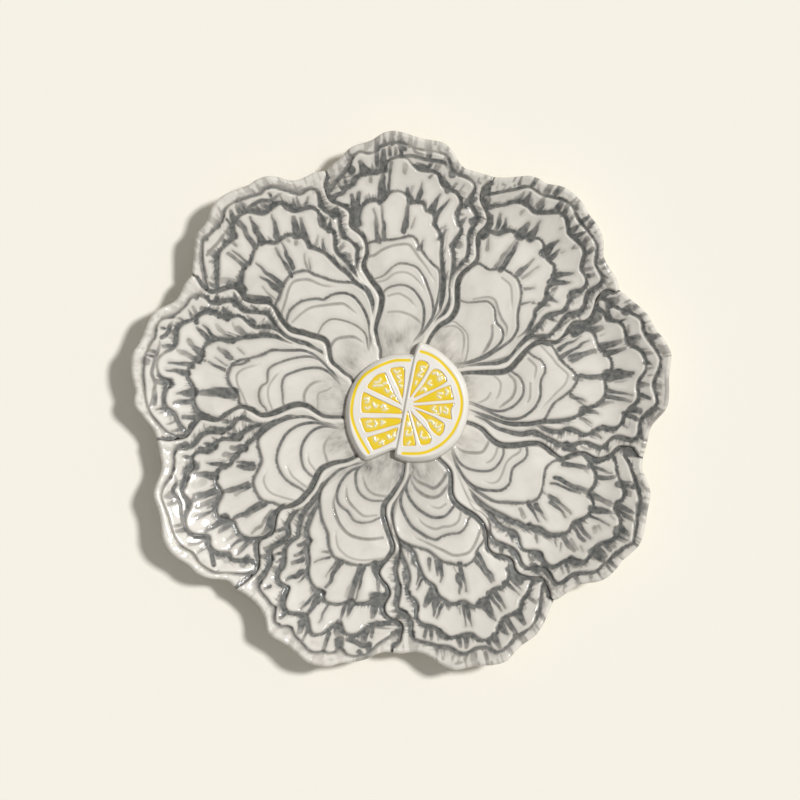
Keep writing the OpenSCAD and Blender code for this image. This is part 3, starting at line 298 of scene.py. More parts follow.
frills = [
    [(-27, 70, 8), (-24, 76.3, 10), (-21.5, 77.5, 9), (-20, 79.3, 10), (-17.5, 80.8, 10), (-16.2, 83, 10),
     (-14, 84.4, 10), (-11, 84.8, 10), (-8.5, 85, 10), (-7, 86, 10), (-5.5, 88.3, 9), (-4.5, 89.6, 6),
     (-2.5, 90.6, 5), (0, 91, 6), (2, 90.4, 3), (3.3, 88.9, 3), (4.8, 87.4, 9), (6.3, 86.3, 10),
     (9, 85.8, 9), (12, 85.4, 8), (13.4, 84, 9), (14, 82, 10), (15, 80.5, 9), (17, 79.2, 8), (19.6, 78, 7),
     (20.9, 76.4, 8), (21.3, 74.6, 8), (20.4, 72.8, 10), (19.8, 71, 10), (19.8, 69, 8), (20.6, 66.8, 6),
     (21.4, 65.2, 7), (20.8, 63.6, 9), (19.4, 61.8, 10), (18.5, 59.8, 10), (18, 57.5, 9), (18.4, 56, 9),
     (18.4, 52.6, 9), (18.2, 50, 10), (17.8, 47.5, 10), (17.3, 44, 10), (17.4, 40, 10), (16.5, 37, 9),
     (15.2, 34.6, 7), (13.6, 32.9, 6), (12.3, 31.1, 5), (11.2, 29.3, 2)],
    [(-27, 70, 8), (-22, 75.5, 9), (-20.3, 78.2, 8), (-18.2, 80.5, 6), (-16.5, 83, 7), (-14.5, 84.7, 9),
     (-11.5, 85.4, 9), (-8.5, 85.2, 9), (-6.3, 86.4, 10), (-4.2, 88.2, 9), (-2.3, 89.9, 8), (-0.5, 91.2, 7),
     (1.5, 91, 8), (3.2, 89.8, 9), (4.8, 88.4, 9), (6, 87.4, 9), (8.5, 87.2, 8), (11, 87.1, 8),
     (13.5, 86.6, 8), (15, 85.5, 8), (15.8, 83.8, 9), (17, 81.6, 9), (18.3, 80.2, 6), (20.3, 79.7, 5),
     (22, 78.8, 6), (22.8, 77.3, 7), (22.4, 75.2, 8), (21, 73.5, 10), (20.2, 71.7, 10), (21.2, 70, 9),
     (22, 68, 7), (22.4, 66.2, 8), (22.2, 64.6, 9), (20.8, 62.8, 9), (19.3, 60.8, 9), (18.6, 58.3, 8),
     (18.8, 56, 9), (18.6, 52.6, 9), (18.2, 50.5, 10), (18.3, 48, 10), (18.2, 45, 9), (18.4, 42, 9),
     (18.4, 40, 8), (18, 38.2, 8), (17.3, 36.8, 7), (16.2, 35, 7), (14.5, 33.3, 6), (12.7, 31.6, 6),
     (11, 29.8, 5), (9.6, 28, 3)],
    [(-26, 71, 8), (-22.5, 75.5, 9), (-21.2, 77.8, 10), (-19.8, 78.8, 8), (-17.8, 79.5, 8), (-16.8, 81.5, 9),
     (-16, 83.5, 8), (-14.3, 84.8, 7), (-12, 85.1, 7), (-9.5, 85.2, 9), (-8, 85.4, 9), (-6.7, 86.5, 8),
     (-5.5, 88.2, 8), (-4, 89.6, 7), (-2, 90.3, 7), (0, 90.7, 5), (2, 90.3, 5), (3.5, 89.2, 6),
     (4.8, 87.7, 7), (6.3, 86.6, 8), (8.5, 86, 7), (10.5, 85.9, 7), (12.5, 85.3, 8), (13.7, 84.2, 9),
     (14.8, 82.2, 10), (16, 80.8, 9), (17.5, 79.3, 8), (19.8, 78.2, 8), (21, 76.5, 7), (21, 74.5, 8),
     (20.3, 72.3, 8), (20, 70.3, 8), (20.8, 67.8, 8), (21.7, 65.8, 7), (21.2, 63.8, 8), (19.8, 62, 8),
     (18.6, 60, 9), (18.2, 58, 9), (18.7, 55.5, 9), (17.9, 52.6, 8), (16.8, 50.4, 7), (15.8, 48.6, 4),
     (15.2, 46, 0), (14.9, 42, 0), (14.1, 38, 0)],
    [(-27, 70, 8), (-22.5, 75.8, 9), (-20.8, 78.3, 7), (-18.5, 80.2, 6), (-16.5, 82.3, 6), (-14.8, 84.3, 9),
     (-13, 86.2, 8), (-11, 86.7, 7), (-9.5, 86, 8), (-7.8, 85.6, 9), (-6, 86.2, 9), (-5, 87.9, 10),
     (-4, 89.6, 9), (-2, 90.8, 6), (0, 91.6, 6), (1.5, 91.7, 6), (3.5, 90.8, 9), (5.3, 89.4, 9),
     (7, 87.9, 10), (9, 87, 10), (11.5, 86.7, 9), (14, 86.7, 7), (15.8, 86, 9), (16.8, 84.3, 10),
     (17.6, 82, 9), (18.7, 80.2, 9), (20.5, 79, 7), (22.3, 78, 7), (23.3, 76.3, 8), (22.9, 74.2, 9),
     (21.7, 72.3, 10), (21, 70.2, 10), (21.8, 68.2, 10), (22.8, 66.3, 7), (23, 64.6, 7), (21.7, 63, 8),
     (20, 61.3, 9), (18.9, 58.8, 9), (19.5, 55, 9), (19.3, 52.6, 9), (18.7, 50.4, 9), (18, 49, 9),
     (17.8, 47.3, 6), (18, 45.6, 2), (17.7, 42, 0), (16.5, 37, 0)],
    [(-26, 72, 8), (-22.5, 76.8, 9), (-21.2, 78.2, 8), (-19.8, 80, 9), (-17.5, 81.3, 9), (-16, 82.8, 10),
     (-14.8, 84.5, 9), (-12.5, 85, 9), (-10, 85.2, 9), (-8, 85.6, 9), (-6.3, 86.8, 9), (-5, 88.3, 9),
     (-4, 89.7, 7), (-2, 90.6, 6), (0, 90.8, 5), (1.8, 90.2, 7), (3, 88.9, 8), (4, 87.3, 9), (5.5, 86.5, 9),
     (7.5, 86, 8), (10, 85.9, 7), (12.2, 85.5, 6), (13.5, 84.2, 9), (14.8, 82.3, 9), (16, 80.5, 9),
     (17.5, 79.2, 9), (19.5, 78, 8), (20.9, 76.3, 7), (20.8, 74.2, 7), (19.9, 72.3, 9), (19.2, 70.3, 9),
     (19.6, 68.3, 8), (20.7, 66.5, 7), (21, 64.9, 7), (20, 63, 8), (18.8, 61, 8), (18.2, 58.5, 8),
     (18, 55, 9), (18.2, 52, 9), (18, 49, 9), (18, 47.2, 8), (18.4, 45, 3), (18.5, 42, 0), (17.8, 37, 0)],
    [(-24, 74, 9), (-21.2, 76.6, 9), (-18.2, 77.6, 10), (-16.2, 79, 10), (-15, 81, 10), (-13.8, 83, 9),
     (-12, 84.7, 8), (-10, 85.2, 6), (-8.5, 84.8, 7), (-7.3, 83.6, 9), (-6, 83.1, 10), (-4.5, 83.3, 10),
     (-3.3, 84.2, 9), (-2.3, 86, 8), (-1.2, 87.8, 6), (0.3, 89, 5), (1.8, 89.4, 6), (3.2, 88.6, 8),
     (4.2, 87, 9), (5.2, 85.3, 9), (6.5, 84, 9), (8, 83.7, 8), (10, 84.2, 7), (12, 84.8, 6), (14, 84.7, 8),
     (15.2, 83.3, 10), (15.8, 81, 10), (15.8, 78.8, 10), (15.9, 77.1, 9), (17.5, 76.4, 8), (19.5, 76, 8),
     (20.8, 74.8, 10), (20.9, 72.8, 10), (20.2, 70.8, 9), (20.3, 68.8, 9), (20.9, 66.8, 8), (21.5, 65, 8),
     (21.6, 63.3, 7), (20.9, 61.5, 7), (19.8, 59.8, 8), (18.9, 58, 8), (19.5, 55, 9), (19.7, 52.6, 9),
     (19.8, 50, 9), (19.2, 47.8, 9), (18.3, 45.6, 9), (17.7, 43.4, 9), (17.4, 41.2, 8), (17.4, 39.5, 8),
     (17.1, 37.8, 7), (16.5, 36, 4), (15, 33, 0)],
    [(-26, 73, 8), (-21.5, 75.5, 9), (-20.5, 77.3, 8), (-19, 79.5, 8), (-18, 81, 7), (-16.8, 81.8, 8),
     (-15, 82, 9), (-14, 83, 10), (-12.8, 84.8, 9), (-11, 86, 7), (-9, 86.2, 8), (-7.5, 85.4, 9),
     (-6, 85, 10), (-4.8, 86, 10), (-3.8, 87.7, 9), (-2.5, 89.3, 8), (-0.8, 90.3, 7), (1, 90.5, 6),
     (3, 89.8, 5), (4.8, 88.3, 5), (5.8, 86.7, 8), (7, 85.2, 10), (8.3, 84.5, 10), (10, 84.8, 8),
     (12, 85.3, 6), (13.3, 84.8, 7), (14, 83.5, 10), (15.2, 82.3, 10), (17, 80.8, 10), (17.8, 79, 10),
     (18.6, 77.6, 9), (20.3, 76.9, 8), (21.8, 75.8, 6), (22.3, 74, 7), (21.5, 72.2, 8), (20.3, 70.5, 9),
     (20.3, 68.5, 10), (21.2, 66.5, 9), (22, 64.8, 8), (21.6, 63, 8), (20.3, 61, 9), (19, 58.5, 9),
     (19.8, 56, 10), (20, 54, 10), (19.8, 52, 10), (19.8, 50.4, 9), (19.4, 48.4, 6), (19, 46.5, 4),
     (18.5, 43, 1), (17.6, 39, 0), (16, 35, 0)],
    [(-24, 74, 9), (-21.8, 77, 9), (-20.3, 78.8, 9), (-18.8, 80, 9), (-17, 81.2, 9), (-16, 83, 9),
     (-15, 84.8, 8), (-13, 85.8, 6), (-11, 85.9, 6), (-9, 85.6, 8), (-7.3, 85.1, 10), (-5.9, 85.6, 10),
     (-5.1, 87.2, 9), (-4.3, 89, 6), (-2.8, 90.2, 3), (-0.8, 90.9, 2), (1.2, 90.8, 3), (3, 89.8, 3),
     (4.3, 88.3, 4), (5.4, 86.7, 7), (6.8, 85.5, 10), (8.5, 85, 10), (11, 85.2, 9), (13.2, 85.4, 10),
     (14.9, 84.5, 10), (16, 83.2, 8), (17, 81.6, 7), (18, 80, 9), (19.6, 78.7, 9), (20.7, 77, 8),
     (21.1, 75, 9), (20.9, 73, 9), (20.3, 71, 10), (20.2, 69, 10), (21, 67, 9), (21.7, 65.3, 7),
     (21.5, 63.6, 6), (20.3, 61.8, 7), (19.1, 59.8, 8), (18.6, 57.8, 8), (19, 56, 9), (19.3, 53.5, 9),
     (19.4, 51.5, 9), (18.6, 48.8, 9), (17.5, 46.9, 9), (16.9, 45, 8), (16.2, 42.5, 9), (15.9, 40.8, 9),
     (15.9, 38.8, 8), (15.3, 36.8, 7), (14.7, 34.6, 5), (13.8, 32, 5), (12.6, 30.2, 2)],
    [(-25, 74.5, 9), (-23, 77, 9), (-21.5, 78.8, 9), (-19.8, 80.8, 9), (-18, 82.9, 9), (-16.3, 84.9, 9),
     (-14.5, 86, 8), (-12, 86.3, 8), (-9.5, 86.3, 9), (-8, 86.2, 8), (-6.5, 87.2, 10), (-5.3, 89, 10),
     (-4, 90.4, 8), (-2, 91, 7), (0, 91.1, 5), (2, 90.5, 6), (3.3, 89.3, 9), (4.5, 87.8, 9), (6, 86.3, 10),
     (8, 85.7, 9), (10.5, 85.7, 9), (12.8, 85.5, 9), (14, 84.3, 9), (14.5, 82.5, 9), (14.5, 80.9, 9),
     (15.8, 79.5, 10), (17.5, 78.6, 10), (19.3, 77.8, 9), (20.9, 76.8, 8), (21.8, 75, 7), (21.4, 73, 9),
     (20.4, 71, 10), (19.6, 69.8, 10), (19.9, 68, 9), (20.9, 66.2, 9), (21.1, 64.8, 8), (20, 63, 8),
     (18.6, 61.3, 9), (17.7, 59.5, 9), (17.5, 57.8, 8), (17.7, 55.5, 10), (17.8, 52.6, 10), (17.7, 50, 9),
     (17.8, 48.4, 6), (17.8, 46, 0), (17.8, 42, 0), (16.9, 37, 0)]]
frill_end = [(7, 25, 0), (5.1, 21, 0), (4.1, 18.5, 0), (3.4, 16, 0), (2.7, 12.5, 0)]
ruffles = [
    [(-21, 60, 7), (-17.5, 64.5, 8), (-14.8, 66.5, 10), (-15.2, 68.5, 10), (-15, 71, 10), (-14.2, 73, 9),
     (-13, 74.2, 9), (-11.5, 74.8, 8), (-9.5, 75, 8), (-8.3, 74, 8), (-7.3, 74.6, 10), (-6.3, 76, 10),
     (-5, 77.4, 8), (-3.5, 78.3, 5), (-1.5, 78.7, 4), (0, 78.3, 4), (1.5, 77.3, 7), (2.5, 75.8, 10),
     (2.9, 74.4, 10), (4.5, 74.3, 8), (6.5, 74.4, 9), (7.8, 73.8, 7), (8.3, 72.3, 6), (9, 71.3, 8),
     (10.5, 71.2, 10), (11.4, 70, 10), (11.6, 68.3, 8), (11.2, 66.8, 7), (12.2, 65.5, 8), (13.3, 63.8, 9),
     (13.9, 61.8, 9), (14.3, 59.5, 7), (14, 56, 8), (14.2, 52, 9), (14.3, 49, 10), (14.5, 45, 10),
     (14.1, 41, 10), (13.8, 37.3, 7), (13.1, 34, 3)],
    [(-21, 60, 7), (-18, 66, 8), (-17, 69, 10), (-14.8, 69.9, 10), (-12.8, 71, 10), (-11.7, 73, 9),
     (-10.3, 74.7, 7), (-8, 75.2, 6), (-5.8, 75.2, 7), (-4.8, 76.3, 8), (-3.5, 77.5, 7), (-1.8, 78.6, 6),
     (-0.3, 79.2, 6), (1.5, 78.8, 6), (2.8, 77.3, 9), (3.8, 76.3, 7), (5.3, 75.5, 7), (7.5, 75.2, 7),
     (9.5, 75, 6), (10.8, 73.5, 9), (12, 71.5, 10), (12.5, 69.5, 10), (12.6, 67.5, 10), (13.5, 65.6, 9),
     (14.5, 64.2, 9), (14.8, 62, 10), (14.6, 60.5, 8), (14.6, 58, 8), (15.9, 56, 9), (16.6, 52.6, 8),
     (17, 50.6, 6), (16.6, 48, 2), (15.6, 44, 0), (14.4, 39, 0)],
    [(-21, 60, 7), (-18.5, 64, 8), (-17, 68, 10), (-15.6, 70.5, 10), (-15, 72.5, 10), (-13.6, 73.8, 7),
     (-11.5, 74.3, 5), (-9.5, 74.6, 6), (-7.8, 75.3, 7), (-6.5, 76.5, 7), (-5, 77.3, 6), (-3.5, 78.2, 6),
     (-2, 78.3, 6), (-0.5, 78, 6), (1, 77, 8), (2.3, 75.5, 8), (4, 74.8, 6), (6, 74.6, 7), (8, 74.3, 7),
     (9.5, 73.3, 8), (10.8, 71.8, 8), (11.7, 70, 7), (12, 68, 9), (12.8, 66.2, 9), (13.8, 64.2, 9),
     (14.6, 62, 7), (14.9, 59, 8), (14.8, 56, 8), (14.4, 52.6, 8), (14, 50, 8), (13.9, 45, 8),
     (13.5, 42.5, 8), (13.1, 40, 8), (12.4, 37.3, 7), (11.3, 35, 6), (10, 32.9, 5), (8.5, 30.3, 4)],
    [(-21, 60, 7), (-18.5, 64, 8), (-17.2, 67.5, 8), (-16.3, 69.5, 7), (-15, 71.8, 8), (-14, 73.5, 7),
     (-12.3, 74.8, 7), (-10, 75.4, 7), (-7.5, 75, 8), (-6, 75.3, 9), (-5.3, 76.5, 8), (-4.3, 78.3, 7),
     (-3, 79.3, 6), (-1, 79, 6), (1, 78.7, 8), (3, 77.4, 9), (4.8, 75.9, 9), (6.5, 75.6, 8), (8.5, 75.7, 7),
     (10.3, 75, 7), (11.8, 73, 9), (13, 71, 10), (13.3, 69, 10), (13, 67.2, 10), (13.2, 65.5, 10),
     (14.3, 63.3, 10), (15, 61, 9), (15, 58, 8), (15.6, 56, 10), (15.7, 52.6, 10), (15.9, 50, 10),
     (16, 47, 10), (15.9, 45, 9), (15.5, 42.5, 9), (14.9, 40, 7), (14.2, 38, 3), (13, 35, 0)],
    [(-18.5, 65, 9), (-17, 68, 9), (-16, 70, 8), (-15.3, 72, 7), (-13.8, 73.8, 8), (-12, 74.6, 8),
     (-10, 74.4, 9), (-8, 74.6, 8), (-6.3, 75.4, 8), (-4.8, 77.2, 7), (-3.3, 78.3, 6), (-1.5, 78.3, 6),
     (0, 77.9, 7), (1.3, 76.8, 8), (2.5, 75.3, 8), (4.2, 74.5, 8), (6.3, 74.6, 8), (8, 73.9, 9),
     (9.2, 72.3, 8), (10.6, 70.5, 8), (11.1, 68.3, 9), (11, 66.5, 9), (11.8, 65, 8), (13, 63.3, 7),
     (13.7, 61, 7), (13.8, 58, 7), (13.9, 55.5, 10), (13.7, 52.6, 9), (14.6, 50.1, 8), (16.6, 47.6, 8),
     (17.9, 45.2, 8), (18.2, 42.5, 7), (17.9, 40, 7), (17.4, 37.3, 4), (16.4, 34.6, 1), (13, 31, 0)],
    [(-18.5, 64.5, 8), (-17.5, 66.8, 9), (-16.5, 68, 9), (-14.8, 69.8, 10), (-13.3, 71.3, 10),
     (-11.8, 72.5, 8), (-10, 73.2, 7), (-8.5, 73.6, 7), (-7.7, 73, 8), (-6, 73.5, 8), (-5, 74.7, 7),
     (-3.5, 75.9, 6), (-1.8, 76.6, 5), (0, 76.9, 5), (1.5, 76.8, 6), (2.7, 75.8, 8), (3.6, 74.3, 10),
     (5, 73.5, 9), (6.8, 73.5, 8), (8.5, 72.5, 5), (10, 71, 7), (11, 69.5, 8), (11.5, 68, 8),
     (11.8, 66.3, 8), (12.5, 64.3, 9), (13.5, 62.5, 9), (14.2, 60.8, 9), (14.4, 58.5, 8), (16.4, 55, 9),
     (16.7, 52.6, 9), (16.7, 50, 9), (16.6, 47.8, 8), (16.4, 45.6, 6), (16.8, 43, 3), (17, 40, 1),
     (16.6, 37, 0), (14.6, 33, 0)],
    [(-18, 63, 8), (-17, 66, 9), (-15.8, 68.5, 8), (-15, 70.3, 8), (-13.8, 72.5, 8), (-12.2, 74.1, 8),
     (-10.3, 74.8, 8), (-8, 74.7, 8), (-6.3, 74.4, 10), (-4.9, 75, 10), (-3.8, 76.5, 9), (-2.3, 77.9, 8),
     (-0.5, 78.4, 8), (1.2, 77.6, 9), (2.6, 76.2, 10), (3.8, 74.3, 10), (5, 73, 10), (7, 72.7, 9),
     (9, 72.9, 8), (10.8, 72.2, 7), (12, 70.8, 7), (12.7, 69.5, 9), (12.6, 67.7, 9), (12.3, 65.7, 8),
     (13, 64, 8), (14, 62.3, 8), (14.5, 60, 8), (14.6, 58, 8), (15.6, 56, 10), (16, 53.5, 9),
     (16.4, 51.3, 9), (17, 49.5, 9), (17.4, 47, 9), (17.6, 44, 9), (17.4, 41, 8), (16.9, 38, 6),
     (16, 35.8, 3), (14, 33, 0)],
    [(-18, 62, 9), (-16.2, 65.5, 10), (-15.8, 69, 10), (-15.3, 71, 10), (-14.3, 73, 9), (-13, 74.3, 8),
     (-11.5, 75.2, 7), (-9.5, 75.5, 6), (-7.5, 75.8, 7), (-5.8, 76.5, 7), (-4.3, 77.8, 8), (-2.8, 79, 7),
     (-1, 79.2, 7), (0.8, 78.7, 8), (2, 77.7, 8), (3.2, 76.3, 8), (4.5, 75.4, 9), (6.5, 75.2, 9),
     (8.3, 75, 6), (9.8, 74, 8), (11, 72.3, 10), (11.8, 70.5, 9), (11.8, 68.7, 9), (11.6, 67, 10),
     (12.3, 65.3, 9), (13.2, 63.5, 8), (14.1, 61.5, 8), (14.5, 59.3, 9), (15.8, 55, 10), (16.2, 52.6, 9),
     (16.4, 50, 8), (16, 47.8, 6), (15.6, 45, 2), (15.1, 41, 0), (14.2, 37, 0)],
    [(-18, 66, 9), (-17.2, 69, 10), (-16.3, 71, 10), (-15.3, 72.5, 10), (-14, 73.8, 9), (-12.8, 75, 8),
     (-11.5, 75.8, 8), (-9.5, 75.8, 9), (-7.8, 76.3, 8), (-6, 77.5, 6), (-4.3, 78.4, 6), (-2.5, 78.8, 7),
     (-0.8, 78.3, 8), (0.8, 77, 8), (2.2, 75.6, 9), (3.8, 75, 9), (6, 75, 8), (8, 74.6, 7), (9.3, 73.3, 8),
     (10.3, 72, 9), (11.3, 71, 9), (11.6, 69.5, 9), (11.2, 67.8, 9), (10.9, 66.5, 9), (12, 65, 9),
     (13, 63.2, 9), (13.9, 61.3, 8), (14.2, 59, 8), (14.4, 55.5, 9), (14.8, 52.6, 9), (15.4, 50, 9),
     (15.5, 47.5, 8), (15.8, 45, 7), (16.5, 42.5, 8), (16.9, 40.8, 9), (16.6, 39, 8), (16.1, 37, 7),
     (15.3, 35.3, 6), (14, 33.4, 3), (12.6, 31.6, 1)]]
ruffle_end = [(6.2, 25, 0), (4.5, 21, 0), (3.5, 18.5, 0), (2.8, 16, 0), (2.2, 12.5, 0)]
# Smooth valves, as cut for each shell, from the left side round to the hinge, and the strength of the
# wash round them
valves = [
    [(-18, 52), (-13.5, 58.6), (-9, 60.3), (-3, 60.8), (3, 62), (5, 61), (6.5, 58), (8, 55.5), (11, 52),
     (13.5, 49.5), (13.8, 45), (13.3, 41), (12.3, 37), (11, 33), (8.2, 28.5)],
    [(-18, 50), (-12.5, 57.5), (-8, 58.5), (-6, 60), (-4, 62), (0, 62.8), (3, 62.5), (6, 60.5), (8, 58),
     (9.5, 55), (11.5, 52), (14, 49), (14.8, 45), (14, 41), (12.8, 37), (11.4, 33), (8.4, 28.5)],
    [(-18, 50), (-13, 55.5), (-12, 58), (-8, 59.5), (-5, 61), (-2, 63.5), (1, 65), (4, 63), (6, 60),
     (7.5, 57), (9, 54.5), (12, 52), (14, 50), (14.4, 46), (13.6, 41), (12.4, 37), (10.6, 33), (7.4, 28)],
    [(-18, 54), (-13, 59.2), (-10, 58), (-7, 57), (-4, 57.8), (0, 59.5), (4, 60), (7, 58), (9, 55), (11, 51),
     (13, 47), (13, 42), (12.5, 38), (11, 33.5), (8.2, 28.5)],
    [(-18, 50), (-12, 56), (-8, 59), (-6, 61.5), (-3, 62.7), (0, 62), (3, 60), (5.5, 58.5), (7, 56), (9, 53),
     (12, 50.7), (14.2, 49), (16.2, 47), (17.4, 45.3), (17.8, 42.5), (17.4, 40), (16.8, 37.3), (15.4, 34.3),
     (12.5, 31), (8.4, 27.5)],
    [(-18, 52), (-10, 57.5), (-7, 59.5), (-4, 60.5), (0, 60.7), (4, 60.5), (6, 59), (7.5, 57), (9.2, 53.4),
     (11.1, 51.3), (13.1, 49), (14.4, 46.9), (15.3, 45), (16.4, 42.5), (17, 40), (16.9, 38.1), (16.3, 36.4),
     (15.6, 34.6), (14.2, 32), (12.4, 29.4), (9, 26.5)],
    [(-18, 48), (-10, 56), (-7, 58.5), (-5, 61), (-2, 62), (2, 61.5), (4, 60), (6, 57), (8, 54.5),
     (11, 53.5), (14, 52.6), (15.8, 51.2), (16.6, 48.5), (17, 45), (16.8, 41), (16, 37.5), (14, 33),
     (10.6, 29.5)],
    [(-18, 52), (-10, 58), (-7, 59.5), (-4, 62.5), (-1, 64.5), (2, 64.3), (4, 63.5), (6, 61), (7, 58.5),
     (9.2, 53.6), (11, 51.3), (11.8, 49), (12.2, 46), (12.8, 42.5), (13.3, 40), (13.2, 37.5), (12.2, 34.5),
     (9.6, 30.5), (7.2, 27)],
    [(-18, 52), (-12.5, 57.5), (-9, 59), (-6, 61), (-3, 62.3), (0, 62.7), (3, 61.5), (5, 60), (6, 57.5),
     (7.6, 55), (8.9, 52.6), (10.9, 50), (13.1, 47.8), (15, 46), (16.2, 43), (16.6, 40.8), (16.2, 38.5),
     (15.1, 35.5), (13, 32), (10, 29), (7.2, 26.5)]]
hinge_end = [(5.3, 24, 1), (3.9, 21, 0), (3, 18.5, 0), (2.3, 16, 0), (1.7, 12.5, 0)]
valve_wash = 5.5
# How strongly the wash fills the hollow under the edge of the shell before, by distance out
covered_wash = [
    (0, 4), (20, 5), (28, 6), (34, 8), (40, 9), (46, 9), (52, 8), (58, 7), (63, 6), (68, 8),
    (73, 10), (78, 8), (83, 8), (88, 7), (92, 6), (105, 3)]
# How much lighter the margin of each shell is painted: painted light where the rim rises towards the lamp,
# most on shells 6 to 8
margin_painted_light = [0.1, 0, 0, 0, 0.1, 0.45, 0.6, 0.5, 0.25]
# How much darker each valve is painted: more brown smudge near the lemon, and a flat painted shade over the
# valve, most on shells 5 and 6
valve_smudge_and_painted_shade = [0, 0.02, 0.01, 0, 0.12, 0.13, 0.02, 0.01, 0]
